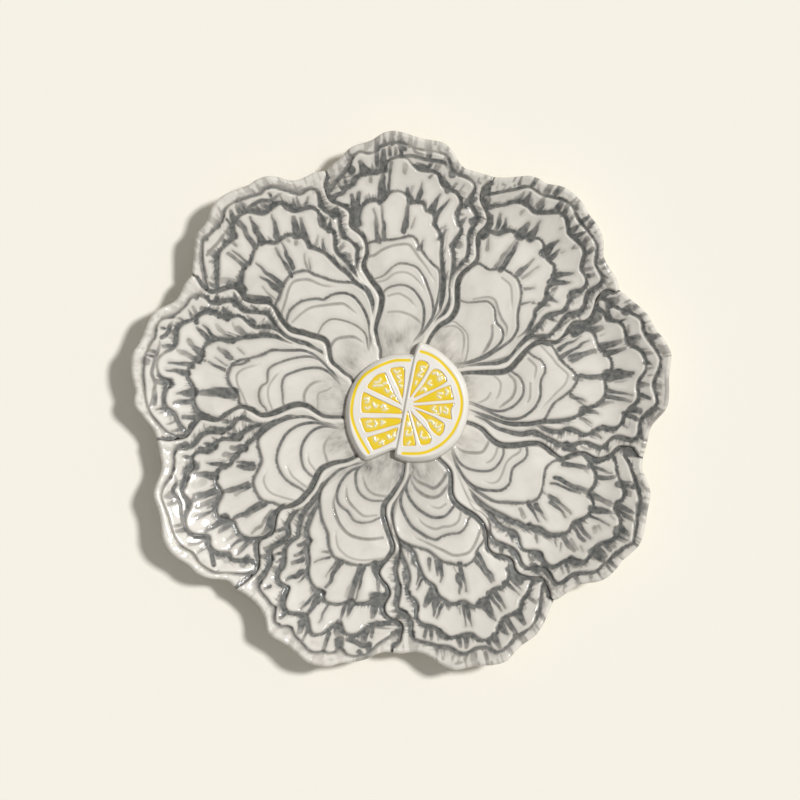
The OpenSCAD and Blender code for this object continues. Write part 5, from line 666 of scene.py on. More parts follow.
     (-21, 79.5, -20, 77.5, 12, 10, 8), (-17, 84, -15.5, 82, 9, 9, 5), (-5.2, 92, -5.3, 88, 7, 9, 5),
     (-9, 92, -8.8, 88.5, 4, 5, 5), (1.3, 94.7, 0.6, 91.7, 5, 7, 7), (3.2, 94, 2.6, 91.8, 4, 5, 6),
     (11.5, 92.3, 10.8, 89.5, 5, 7, 6), (14.3, 92, 13.5, 88.7, 5, 14, 6), (15.3, 84, 16.3, 81.5, 9, 10, 10),
     (19, 81, 19.5, 77.5, 9, 18, 10), (24, 78.5, 22.5, 76.5, 4, 7, 8), (23, 73.5, 22, 70, 8, 10, 9),
     (24.3, 69.5, 21.5, 66.8, 5, 11, 10), (25, 66.3, 23.3, 65, 3, 5, 7), (23.5, 60.5, 20, 57.5, 4, 12, 9),
     (29.8, 83.8, 27.5, 81, 5, 11, 9), (28.8, 80, 26.8, 76, 5, 12, 9), (28.5, 72, 26.5, 71, 4, 4, 4),
     (28.8, 66.5, 25.3, 61.5, 5, 11, 9), (28, 59.5, 26, 57, 5, 5, 7), (-26, 84, -25.5, 80, 3, 6, 8),
     (-8.3, 96.5, -9, 95.5, 4, 4, 8), (-5.5, 98, -5.8, 97, 5, 5, 6), (-19, 89.5, -18.5, 88.5, 4, 4, 5),
     (-22.5, 87, -21.8, 86, 3, 3, 3), (20.5, 87.5, 19.8, 86, 4, 4, 6), (22.7, 86.3, 22.3, 84.5, 9, 8, 8),
     (-28.5, 82, -26, 78.5, 5, 10, 7)],
    [(-7.7, 73, -6.2, 61.5, 10, 16, 9), (4, 75, 3.8, 74, 4, 4, 6), (3.5, 72.5, 1.8, 66.5, 4, 6, 8),
     (5.7, 71, 3.5, 65.5, 2, 3, 5), (9.5, 70, 6.8, 65, 5, 8, 7), (7, 64.5, 5.5, 62.5, 3, 3, 4),
     (3.5, 63.5, 6.5, 58.5, 3, 6, 8), (11, 63, 9, 60.5, 3, 3, 4), (-13.3, 82.5, -11.8, 76, 5, 8, 8),
     (-10, 82, -8, 76, 4, 14, 9), (-1.8, 87.3, -1.8, 79.5, 2, 9, 9), (0.7, 86.5, 1.2, 78.5, 3, 9, 9),
     (5.7, 84.5, 4.3, 80, 5, 9, 5), (3.8, 80, 4, 76.5, 5, 12, 9), (9.8, 81, 6.3, 76, 7, 13, 8),
     (15.5, 79, 11.3, 74, 4, 10, 9), (16.8, 77, 12.8, 72, 2, 9, 9), (18, 72, 13.8, 68.5, 5, 8, 4),
     (13.5, 68.5, 13, 65.5, 8, 10, 8), (20, 66.5, 17, 65, 3, 3, 3), (17.5, 64, 15.3, 61, 10, 10, 7),
     (-17.8, 78, -16.8, 70, 6, 12, 10), (-21.5, 83.3, -20, 81.5, 2, 5, 7), (-23.3, 81, -22.5, 77.5, 4, 8, 8),
     (-17, 88, -16, 85.3, 3, 5, 8), (-18.3, 86.7, -17.3, 85, 2, 2, 5), (-6.5, 90, -6.5, 85.5, 9, 15, 8),
     (2.3, 94.8, 2, 93, 5, 5, 8), (4, 94.5, 3.8, 92.7, 3, 4, 8), (6.8, 90.3, 7, 87.5, 4, 8, 8),
     (12.8, 91.5, 12.7, 90.3, 4, 4, 8), (16.8, 91.8, 17.5, 88.5, 4, 6, 7), (17.5, 85.8, 17, 83.8, 4, 5, 8),
     (21, 83.3, 18.5, 80.8, 3, 6, 7), (22.5, 82, 20, 79.5, 4, 6, 7), (19.5, 80.3, 17.5, 79.5, 8, 8, 9),
     (22.5, 79, 21.7, 75, 5, 9, 9), (21.8, 74, 21.3, 71.5, 5, 8, 8), (24.5, 71, 21.5, 68.5, 3, 14, 9),
     (23, 61.5, 20, 59, 4, 8, 7), (27.5, 85, 26.5, 81.5, 6, 8, 7), (28.8, 74, 26.3, 73.5, 4, 11, 9),
     (30, 68, 26.5, 66.5, 3, 11, 9), (28, 67, 25, 63, 4, 9, 8), (26.3, 61, 25, 58.5, 5, 6, 8),
     (-19.7, 92.7, -19, 91, 3, 5, 6), (-16.2, 95.3, -15.8, 94, 4, 4, 4), (-7.8, 97.5, -7.8, 95.3, 4, 5, 7),
     (-4, 98, -3.8, 97, 3, 3, 4), (-0.5, 98.5, -0.3, 95.8, 10, 14, 6), (3.8, 97.8, 4, 96.8, 4, 4, 5),
     (9.3, 96.5, 9, 94.3, 7, 9, 6), (11.7, 95.8, 11.8, 94, 4, 7, 6), (-25.6, 84.3, -26.2, 79.5, 3, 6, 9),
     (21.3, 89.3, 20.3, 87, 5, 7, 8), (23.4, 87.8, 22.8, 85.2, 5, 7, 8)],
    [(-9, 70, -7, 62, 3, 7, 9), (-7.3, 74.5, -5.3, 62.5, 3, 9, 9), (1.6, 74, 0.2, 66, 3, 7, 9),
     (4.8, 74, 1.8, 64.5, 3, 8, 9), (0.8, 67, -0.3, 62.5, 6, 5, 8), (-11.3, 66, -10.5, 60, 3, 4, 4),
     (8.5, 66, 5.5, 60.5, 3, 4, 5), (8.7, 63.2, 6.5, 60.3, 2, 3, 5), (7.3, 74, 7.3, 73, 6, 6, 4),
     (10, 72, 8.8, 70.3, 3, 6, 5), (-12.8, 83.5, -11.5, 76.3, 5, 8, 8), (-11, 83.5, -9.5, 76.5, 3, 7, 8),
     (-8.7, 86, -8.4, 84, 7, 4, 6), (-2.3, 90, -3.5, 79.5, 6, 9, 9), (1.8, 89, -0.5, 79, 4, 11, 9),
     (8.8, 84.3, 4.8, 77, 3, 10, 9), (14, 78.5, 11, 73, 6, 12, 9), (15.8, 76.8, 12.5, 70.5, 4, 8, 9),
     (-21, 78.3, -18, 74.5, 8, 10, 4), (-19.5, 75.5, -17, 70.5, 9, 12, 9), (16.8, 67.5, 13.8, 65.5, 3, 6, 5),
     (17.5, 65.2, 14.5, 62, 4, 7, 8), (-17, 67, -13, 61, 6, 14, 9), (-17.2, 87.8, -16.7, 85.8, 11, 10, 8),
     (-20, 86, -18.5, 84.5, 4, 8, 7), (-11.3, 89.5, -10.8, 87, 6, 7, 8), (-7, 90, -6.5, 87.5, 10, 12, 9),
     (-5.3, 93.3, -5.3, 91.8, 5, 5, 9), (-2, 95, -2.8, 92, 5, 11, 8), (1.5, 95, 1.2, 92.3, 9, 10, 8),
     (2.8, 95, 3, 93, 4, 4, 5), (6.8, 90.3, 6.8, 88, 4, 5, 8), (8.8, 89.8, 8.9, 87.8, 6, 6, 8),
     (5.8, 90, 5.5, 88.5, 4, 4, 7), (12.7, 90.8, 12.5, 89.8, 4, 4, 8), (-23, 81.3, -22, 79.8, 5, 7, 6),
     (-25, 80, -24, 78, 5, 7, 8), (14.5, 86, 15.5, 82.5, 5, 12, 9), (18.3, 84, 16.8, 81.5, 3, 10, 8),
     (19.5, 83.5, 18.5, 80.5, 3, 6, 7), (23, 81, 20, 79, 3, 6, 7), (22.3, 73, 20.8, 70, 8, 10, 9),
     (23.8, 69.7, 21.3, 67, 3, 10, 9), (22, 60, 19, 58, 3, 8, 6), (27.5, 84, 26.5, 81, 6, 8, 3),
     (27, 78.5, 25, 75.5, 4, 10, 8), (27, 74, 25.5, 72.5, 3, 4, 5), (29, 71.5, 26.3, 70, 3, 13, 9),
     (26.5, 67, 24, 62.3, 4, 10, 9), (-19, 93.5, -18.6, 92.3, 3, 4, 6), (-16.8, 94.8, -16, 93.3, 7, 7, 7),
     (-9.7, 96.5, -9.3, 94.3, 9, 9, 7), (-7, 96.8, -6.8, 94.8, 4, 6, 6), (-5, 98.5, -5.3, 95.5, 3, 5, 8),
     (4.3, 97, 4.5, 95.5, 9, 6, 5), (7.5, 96.5, 8.3, 94.8, 8, 9, 7), (11.5, 95.3, 11.3, 94, 6, 6, 8),
     (14.2, 95, 14.3, 93.3, 7, 8, 7), (19.7, 89.3, 19.3, 87, 4, 6, 5), (21.7, 87.7, 21.3, 86.3, 4, 5, 8),
     (-28.3, 86, -27, 79.5, 5, 9, 9), (-22.8, 86, -24.5, 82.5, 5, 4, 6)]]
# Scratched lines of wash on the frills: strength at both ends, in tenths, then the line
scratches = [
    [(5, 8, [(0, 91.4), (3, 91.8), (6, 91.3), (9, 90.4), (12, 90), (15.5, 89.4), (16.6, 88.2), (17, 86.5)]),
     (5, 2, [(4.5, 94.3), (5.5, 93), (7.5, 92.2), (8.8, 91.7)])],
    [],
    [(4, 4, [(5, 98.2), (8, 97.2), (12, 96.6), (16, 95.6), (18, 94.5), (19.5, 92.5), (21, 90.5), (23, 88.3),
     (25.5, 87), (28, 86.3)])],
    [],
    [],
    [(9, 9, [(-18.5, 86.8), (-16.5, 87.6), (-14, 87.2), (-11.5, 87.2), (-9, 88)]), (4, 8, [(6.3, 90.5),
     (6.3, 88), (7.3, 86), (9, 85.3), (12, 85.2)])],
    [(8, 8, [(-16, 88.8), (-13.5, 88), (-11, 87.3), (-8, 87.3), (-6, 87.2)]), (5, 8, [(3, 91), (5.5, 90),
     (8, 89), (9.5, 88.3), (12, 88.1), (14, 88.6), (15.5, 87.8), (16.3, 86.3), (17.5, 85.3), (19.5, 84.9)])],
    [(4, 6, [(-16, 90.6), (-13, 90.3), (-10, 90.5), (-8, 90.4), (-6, 91.3), (-4, 92.3), (-1, 92.2), (2, 92),
     (4, 91.6), (6.5, 91.3), (8.5, 91.7)]), (6, 6, [(-15, 89.3), (-12, 89.6), (-9.5, 89.9)]),
     (6, 6, [(-14.5, 86.2), (-12, 86.8), (-9, 86.6), (-7, 86)]), (7, 8, [(9.5, 91), (10.5, 89.8), (12, 89),
     (14, 88.8), (16, 88.2)])],
    [(6, 7, [(1, 92), (4, 91.7), (7, 91.4), (9, 90.8), (10.5, 89.5), (12, 88.5), (14.5, 88.3), (17, 88)]),
     (4, 4, [(-19, 88.3), (-16, 88.9), (-13, 89.2), (-10, 90), (-8, 90.2)])]]


def curve(p, steps):
    """Points of a smooth curve, from the second of the given points to the last but one."""
    a, b, c, d = (p[i:len(p) - 3 + i, None, :] for i in range(4))
    t = (np.arange(steps) / steps)[None, :, None]
    out = (2 * b + (c - a) * t + (2 * a - 5 * b + 4 * c - d) * t ** 2 + (3 * b - a - 3 * c + d) * t ** 3) / 2
    return out.reshape(-1, p.shape[1])


def smooth_line(points, steps=4):
    """A smooth line through the drawn points; extra numbers of a point run along with it."""
    p = np.array(points, float)
    p = np.vstack([2 * p[0] - p[1], p, 2 * p[-1] - p[-2]])
    return np.vstack([curve(p, steps), p[-2]])


def near_line(x, y, line, reach):
    """Distance to a line, up to reach, and the line's further numbers at the nearest place."""
    best = np.full(x.shape, float(reach))
    extra = np.zeros((line.shape[1] - 2,) + x.shape)
    for p, q in zip(line[:-1], line[1:]):
        box = np.flatnonzero((x > min(p[0], q[0]) - reach) & (x < max(p[0], q[0]) + reach)
                             & (y > min(p[1], q[1]) - reach) & (y < max(p[1], q[1]) + reach))
        if not len(box):
            continue
        along = q[:2] - p[:2]
        t = ((x[box] - p[0]) * along[0] + (y[box] - p[1]) * along[1]) / max(along @ along, 1e-9)
        t = np.clip(t, 0, 1)
        away = np.hypot(x[box] - p[0] - t * along[0], y[box] - p[1] - t * along[1])
        closer = away < best[box]
        best[box[closer]] = away[closer]
        for n in range(len(extra)):
            extra[n, box[closer]] = (p[2 + n] + t * (q[2 + n] - p[2 + n]))[closer]
    return best, extra


def inside(x, y, outline):
    """Which points lie inside a closed outline."""
    hit = np.zeros(x.shape, bool)
    for p, q in zip(outline, np.roll(outline, -1, axis=0)):
        if p[1] != q[1]:
            hit ^= ((y < p[1]) != (y < q[1])) & (x < (q[0] - p[0]) * (y - p[1]) / (q[1] - p[1]) + p[0])
    return hit


def ease(t):
    """A soft step from 0 to 1."""
    t = np.clip(t, 0, 1)
    return t * t * (3 - 2 * t)


def dish_rise(r):
    """Rise of the dish above its floor at a distance from its axis, in metres."""
    ramp = np.clip(r - flat_r, 0, slope_end_r - flat_r)
    return rim_slope * (ramp ** 2 / (2 * (slope_end_r - flat_r)) + np.clip(r - slope_end_r, 0, None))


blotches = np.random.default_rng(11).random((64, 64))


def cloudy(a, b):
    """Soft random blotches, one unit apart, from 0 to 1."""
    i, j = np.floor(a).astype(int), np.floor(b).astype(int)
    s, t = ease(a - i), ease(b - j)
    at = lambda m, n: blotches[(i + m) % 64, (j + n) % 64]
    return (at(0, 0) * (1 - s) + at(1, 0) * s) * (1 - t) + (at(0, 1) * (1 - s) + at(1, 1) * s) * t


def outline_of(points, steps=6):
    """Distance out and turn (degrees) along a smooth line."""
    line = smooth_line(points, steps)
    return np.hypot(line[:, 0], line[:, 1]), np.degrees(np.arctan2(line[:, 0], line[:, 1]))


# Places of a shell's points: columns from the covered edge on the left, which is the free edge of the
# shell before, to its own free edge on the right; rows from under the lemon out to the rim
inner_r = 12.5
corner_r = float(np.hypot(*rim_corner))
lip_r = 1.6
# how far the underside is drawn in behind the lip, and how high it ends above the underside of the dish
tuck_in = 1.5
tuck_high = 0.0003
u = np.linspace(0, 1, shell_columns + 1)
v = np.linspace(0, 1, shell_rows + 1)
base_r = inner_r + (corner_r - inner_r) * v
edge_turns, rim_outlines = [], []
for number in range(shell_count):
    edge_r, edge_turn = outline_of(hinge_edge + free_edges[number] + [rim_corner])
    edge_turns.append(np.interp(base_r, np.maximum.accumulate(edge_r[1:]), edge_turn[1:]))
    rim_r, rim_turn = outline_of([rim_corner] + rims[number] + [rim_end])
    rim_outlines.append((rim_turn[::-1], rim_r[::-1]))
# two points under the shell before, which close the drawn lines on their covered side
hidden = np.array([(0, 0), (-30, 10)], float)
ragged = np.random.default_rng(7)

# Heights in metres: the margin's own thickness, each frill over the one outside it, the growth rings,
# the raised lip along each edge, the groove outside it, the pleats, the groove between two shells, the
# scratched lines, and the gentle unevenness and the dents of the clay
margin_high = 0.0018
frill_step = 0.0006
ring_step = 0.0003
lip_high = 0.0002
groove_deep = 0.00045
pleat_deep = 0.0002
seam_high = 0.0009
scratch_deep = 0.0002
sag_high = 0.00012
dent_high = 0.0003
shell_tilt = math.radians(1.0)


def relief(number, x, y):
    """Height over the dish and strength of the wash, with its painted shade, for one shell, at each point of
    its grid.
    """
    columns = shell_columns + 1
    left, right = (np.stack([x[n::4 * columns], y[n::4 * columns]], 1) for n in (0, columns - 1))
    from_left, _ = near_line(x, y, left, 12)
    from_right, _ = near_line(x, y, right, 12)
    from_left[::columns] = 0
    from_right[columns - 1::columns] = 0
    wobble = ragged.uniform(0, 6.28, 8)
    out_r = np.hypot(x, y)
    arc = np.arctan2(x, y) * 85 + 13 * number
    # bristle marks run outwards at the rim, and sideways along the flanks of the shell
    sideways = ease((np.abs(x) - 15) / 6)
    teeth = 0.25 * cloudy(arc / 2.3 + 5, out_r / 2.3)
    for share, width in ((0.4, 0.45), (0.35, 1.2)):
        along = cloudy(arc / width, out_r / 5)
        across = cloudy(out_r / width + 9, arc / 5)
        teeth += share * (along * (1 - sideways) + across * sideways)
    teeth = 0.5 + (teeth - 0.5) * ease((out_r - 38) / 22)
    near_hinge = 0.15 + 0.85 * ease((out_r - 28) / 30)
    high = np.zeros(len(x))
    wash_and_painted_shade = np.zeros(len(x))

    def edge(points, step, lip, groove, width):
        """Steps the relief up inside a drawn line and brushes the wash along it."""
        nonlocal high, wash_and_painted_shade
        line = smooth_line(points)
        away, (tenths,) = near_line(x, y, line, 6)
        away = np.where(inside(x, y, np.vstack([line[:, :2], hidden])), away, -away)
        strong = np.clip(tenths / 10, 0, 1) * ease((out_r - 19) / 10)
        rise = np.clip(away, 0, None) / (0.9 * width)
        high += near_hinge * (step * ease(away / (0.9 * width) + 0.2) + lip * rise * np.exp(1 - rise))
        from_groove = (away + 0.35 * width) / (width * (0.35 + 0.45 * strong))
        high -= near_hinge * groove * strong ** 0.5 * np.exp(-from_groove ** 2)
        limit = ease((0.3 * width - away) / 0.35) * ease(strong / 0.12)
        core = width * (0.5 + 1.9 * strong ** 1.2) * (0.6 + 0.8 * teeth)
        feather = width * (0.4 + 3.6 * strong ** 1.3) * (0.15 + 1.7 * teeth)
        feather *= 1 - 0.3 * ease((52 - out_r) / 8)
        dark = np.clip(0.5 + 0.8 * strong, 0, 1) * ease(strong / 0.15)
        dark *= ease((away + core) / (0.25 + 0.35 * strong))
        soft = 0.8 * strong * ease((away + feather) / (0.5 + 1.6 * strong))
        halo = (0.1 + 0.28 * strong) * ease(strong / 0.12) * np.exp(-((away + 0.4) / 1.5) ** 2)
        halo *= np.abs(away) < 6
        wash_and_painted_shade = np.maximum(wash_and_painted_shade, np.maximum(limit * np.maximum(dark, soft), halo))
        return away

    outside = edge(bands[number] + band_end, frill_step, lip_high * 2, groove_deep * 1.2, 1.0)
    beyond = edge(frills[number] + frill_end, frill_step, lip_high, groove_deep, 1.0)
    edge(ruffles[number] + ruffle_end, frill_step, lip_high, groove_deep, 1.0)
    valve = [(px, py, valve_wash) for px, py in valves[number]] + hinge_end
    edge(valve, frill_step, lip_high * 0.8, groove_deep * 0.8, 0.9)
    for start, end, points in growth_rings[number] + scratches[number]:
        (px, py), (qx, qy) = points[:2]
        raised = px < -11.6 and points[-1][1] < 21
        if np.hypot(x[::columns] - px, y[::columns] - py).min() < 3:
            # a line that starts at the seam runs on under it
            more = 3 / math.hypot(px - qx, py - qy)
            points = [(px + more * (px - qx), py + more * (py - qy))] + points
        share = np.linspace(0, 1, len(points))
        fading = [(px, py, (start + 0.5 + (end - start) * s) * min(1, 4.08 - 4 * s))
                  for (px, py), s in zip(points, share)]
        if raised:
            edge(fading, ring_step, lip_high * 0.4, groove_deep * 0.6, 0.9)
        else:
            away, (tenths,) = near_line(x, y, smooth_line(fading), 3)
            strong = tenths / 10
            high -= scratch_deep * np.exp(-(away / 0.4) ** 2)
            stroke = (0.33 + 0.9 * strong) * ease(strong / 0.1)
            wash_and_painted_shade = np.maximum(wash_and_painted_shade, stroke * ease((0.65 + 0.7 * strong - away) / 0.6))
    # brushed strokes waver, and the pits along the margin hold the wash as well
    waver_x = x + cloudy(x / 2.9, y / 2.9 + 5 * number) - 0.5
    waver_y = y + cloudy(x / 2.9 + 5 * number, y / 2.9) - 0.5
    for px, py, qx, qy, wide_out, wide_in, grey in pleats[number]:
        stroke = np.array([(px, py, wide_out / 10, 0), (qx, qy, wide_in / 10, 1)])
        away, (half, along) = near_line(waver_x, waver_y, stroke, 4)
        soft = 0.4 + 0.5 * half
        shade = (0.2 + 0.1 * grey) * (0.75 + 0.25 * ease(1.6 * along)) * (0.75 + 0.5 * teeth)
        painted = ease((half * (1 + 0.8 * teeth) + 0.6 * soft - away) / soft)
        # painted shade: a wide faint darkening round each stroke, standing in for the shading across the
        # pleat
        painted = np.maximum(painted, 0.4 * np.exp(-(away / (half + 1.1)) ** 2))
        wash_and_painted_shade = np.maximum(wash_and_painted_shade, np.clip(shade, 0, 1) * painted * (away < 4))
        high -= pleat_deep * (grey / 10) ** 0.5 * np.exp(-(away / (half + 0.55)) ** 2) * (away < 4)

    # the oxide was wiped back less on the margin and the outer frill, so they stay greyer
    stain = cloudy(arc / 3 + 3, out_r / 2.2 + 5) * 0.6 + cloudy(arc / 1.1, out_r / 3) * 0.4
    margin = ease((0.5 - outside) / 1.2) * ease((out_r - 60) / 20)
    wash_and_painted_shade = np.maximum(wash_and_painted_shade, (0.05 + 0.38 * stain ** 2) * margin)
    wash_and_painted_shade = np.maximum(wash_and_painted_shade, 0.3 * stain ** 2 * ease((0.5 - beyond) / 1.2) * ease((out_r - 45) / 25))
    pits = ease((cloudy(arc / 1.0 + 5, out_r / 1.4) - 0.6) / 0.3) * ease((-0.6 - outside) / 0.6)
    wash_and_painted_shade = np.maximum(wash_and_painted_shade, 0.7 * pits * ease((out_r - 75) / 10))
    # painted light: the wash is thinned on the outer margin of the shells listed above
    wash_and_painted_shade *= 1 - 1.3 * margin_painted_light[number] * ease(-outside / 1.5) * ease((out_r - 82) / 5)
    smudge = 0.3 + 0.6 * cloudy(x / 1.3, y / 1.6 + 8 * number) + 0.5 * cloudy(x / 0.5, y / 1.7)
    smudge *= cloudy(x / 4 + 3 * number, y / 5) * (0.65 + 2 * valve_smudge_and_painted_shade[number])
    wash_and_painted_shade = np.maximum(wash_and_painted_shade, 0.1 * stain ** 2 + smudge * ease((40 - out_r) / 18))
    # painted shade: a flat darkening of the valves, by the amount listed for each shell
    wash_and_painted_shade += valve_smudge_and_painted_shade[number] * (1 - wash_and_painted_shade) * ease((60 - out_r) / 14)

    # near the hinge the raised lip was wiped clean
    wash_and_painted_shade *= 1 - 0.85 * ease((1.9 - from_right) / 0.7) * ease((57 - out_r) / 6)
    # the margin's ragged free edge, its lip, and the fall of the covered side under the next shell
    tilt = math.sin(shell_tilt) * x * hundredth
    rise = from_right / 0.9
    high += lip_high * 2.5 * rise * np.exp(1 - rise)
    fall = 0.35 + 0.65 * ease(from_left / 9)
    high = margin_high + tilt + high * fall
    covered = np.interp(out_r, *np.array(covered_wash, float).T) / 10
    round_over = np.sqrt(1 - (1 - np.clip(from_right, 0, 1)) ** 2)
    seam = np.minimum(round_over, ease(from_left / 2.4))
    high = seam_high + (high - seam_high) * seam
    reach = (0.7 + 2.2 * covered ** 1.5) * (0.6 + 0.8 * teeth)
    wash_and_painted_shade = np.maximum(wash_and_painted_shade, np.clip(0.4 + covered, 0, 1) * ease((reach - from_left) / (0.5 + 0.5 * covered)))
    wash_and_painted_shade = np.maximum(wash_and_painted_shade, 0.5 * ease((0.4 - from_right) / 0.3))
    high += sag_high * np.sin(0.5 * x + wobble[4]) * np.sin(0.45 * y + wobble[5])
    dents = cloudy(arc / 1.7 + 7, out_r / 2.1) + 0.5 * cloudy(arc / 0.9, out_r / 1.2 + 3)
    high += dent_high * (dents - 0.75) * ease((0.6 - outside) / 2) * ease((out_r - 60) / 20) * seam
    return high, np.clip(wash_and_painted_shade, 0, 1)


def blend(tree, share, first, second):
    """Mixes two colours by the share of the second."""
    mix = add_node(tree, "ShaderNodeMix", {"data_type": "RGBA"}, i0=share, i6=first, i7=second)
    return mix.outputs[2]


def mottled(tree, light, dark, **noise):
    """Where a point lies on the object, and a colour that wavers there between two."""
    place = add_node(tree, "ShaderNodeTexCoord").outputs["Object"]
    cloud = add_node(tree, "ShaderNodeTexNoise", Vector=place, **noise)
    return place, blend(tree, cloud.outputs["Fac"], srgb(light), srgb(dark))


def layer_at(tree, layer):
    """How thickly a painted layer lies on a point."""
    return add_node(tree, "ShaderNodeAttribute", {"attribute_name": layer}).outputs["Fac"]


def glazed(tree, shader, colour, roughness, coat, coat_roughness):
    """Gives a shader its colour and the clear glaze over it."""
    tree.links.new(colour, shader.inputs["Base Color"])
    shader.inputs["Roughness"].default_value = roughness
    shader.inputs["Coat Weight"].default_value = coat
    shader.inputs["Coat Roughness"].default_value = coat_roughness


# Glazed earthenware: a soft cream tin glaze, thin over the raised lips and pooled in the hollows,
# over a grey oxide wash that was brushed on and wiped back. The same layer carries painted shade
# round the pleats and on the valves, and is thinned as painted light on the lower margins. Fired
# glossy, so lamps show sharply.
oyster_glaze, tree, shader = new_material("cream tin glaze over oxide wash")
place, cream = mottled(tree, "#E9E3D9", "#DED9CE", Scale=55.0, Detail=4.0, Roughness=0.55)
streak = add_node(tree, "ShaderNodeTexNoise", Vector=place, Scale=420.0, Detail=3.0)
streaky = add_node(tree, "ShaderNodeMapRange", Value=streak.outputs["Fac"], i1=0.3, i2=0.7, i3=0.82, i4=1.0)
oxide_and_painted_shade = add_node(tree, "ShaderNodeMath", {"operation": "MULTIPLY"}, i0=layer_at(tree, "wash_and_painted_shade"),
                 i1=streaky.outputs["Result"]).outputs[0]
# the grey is the oxide wash, and also the painted shade carried in the same layer
oxide = blend(tree, oxide_and_painted_shade, srgb("#695F51"), srgb("#515453"))
glazed(tree, shader, blend(tree, oxide_and_painted_shade, cream, oxide), 0.45, 0.46, 0.05)
shader.inputs["Specular IOR Level"].default_value = 0.2
# the oxide drinks the glaze, so it is glossy only where it is clean
gloss = add_node(tree, "ShaderNodeMapRange", Value=oxide_and_painted_shade, i1=0.1, i2=0.7, i3=0.46, i4=0.08)
tree.links.new(gloss.outputs["Result"], shader.inputs["Coat Weight"])


def zip_side(fine, coarse):
    """Triangles between a fine row of points and a coarse one that run side by side."""
    faces, i, j = [], 0, 0
    while i < len(fine) - 1 or j < len(coarse) - 1:
        ahead = (i + 1) / (len(fine) - 1) <= (j + 1) / max(len(coarse) - 1, 1)
        if i < len(fine) - 1 and (ahead or j == len(coarse) - 1):
            faces.append((fine[i], fine[i + 1], coarse[j]))
            i += 1
        else:
            faces.append((fine[i], coarse[j + 1], coarse[j]))
            j += 1
    return faces


def sheet_faces(index):
    """Quads of a sheet whose points are numbered row by row."""
    quads = np.stack([index[:-1, :-1], index[:-1, 1:], index[1:, 1:], index[1:, :-1]], -1)
    return quads.reshape(-1, 4).tolist()


def mesh_piece(name, points, faces, material):
    """An object of these points and faces, shaded smooth."""
    mesh = bpy.data.meshes.new(name)
    mesh.from_pydata(points.tolist(), [], faces)
    mesh.polygons.foreach_set("use_smooth", [True] * len(mesh.polygons))
    mesh.materials.append(material)
    mesh.update()
    piece = bpy.data.objects.new(name, mesh)
    bpy.context.collection.objects.link(piece)
    return piece


def paint(piece, layer, values):
    """Stores how thickly a painted layer lies on each point of a piece."""
    piece.data.attributes.new(layer, "FLOAT", "POINT").data.foreach_set("value", values)


def placed(x, y, z, number=0):
    """Points of a drawing, turned to the place of a shell on the plate, in metres."""
    c, s = math.cos(math.radians(pitch * number)), math.sin(math.radians(pitch * number))
    return np.stack([axis_x + (x * c + y * s) * hundredth, axis_y + (y * c - x * s) * hundredth, z], -1)


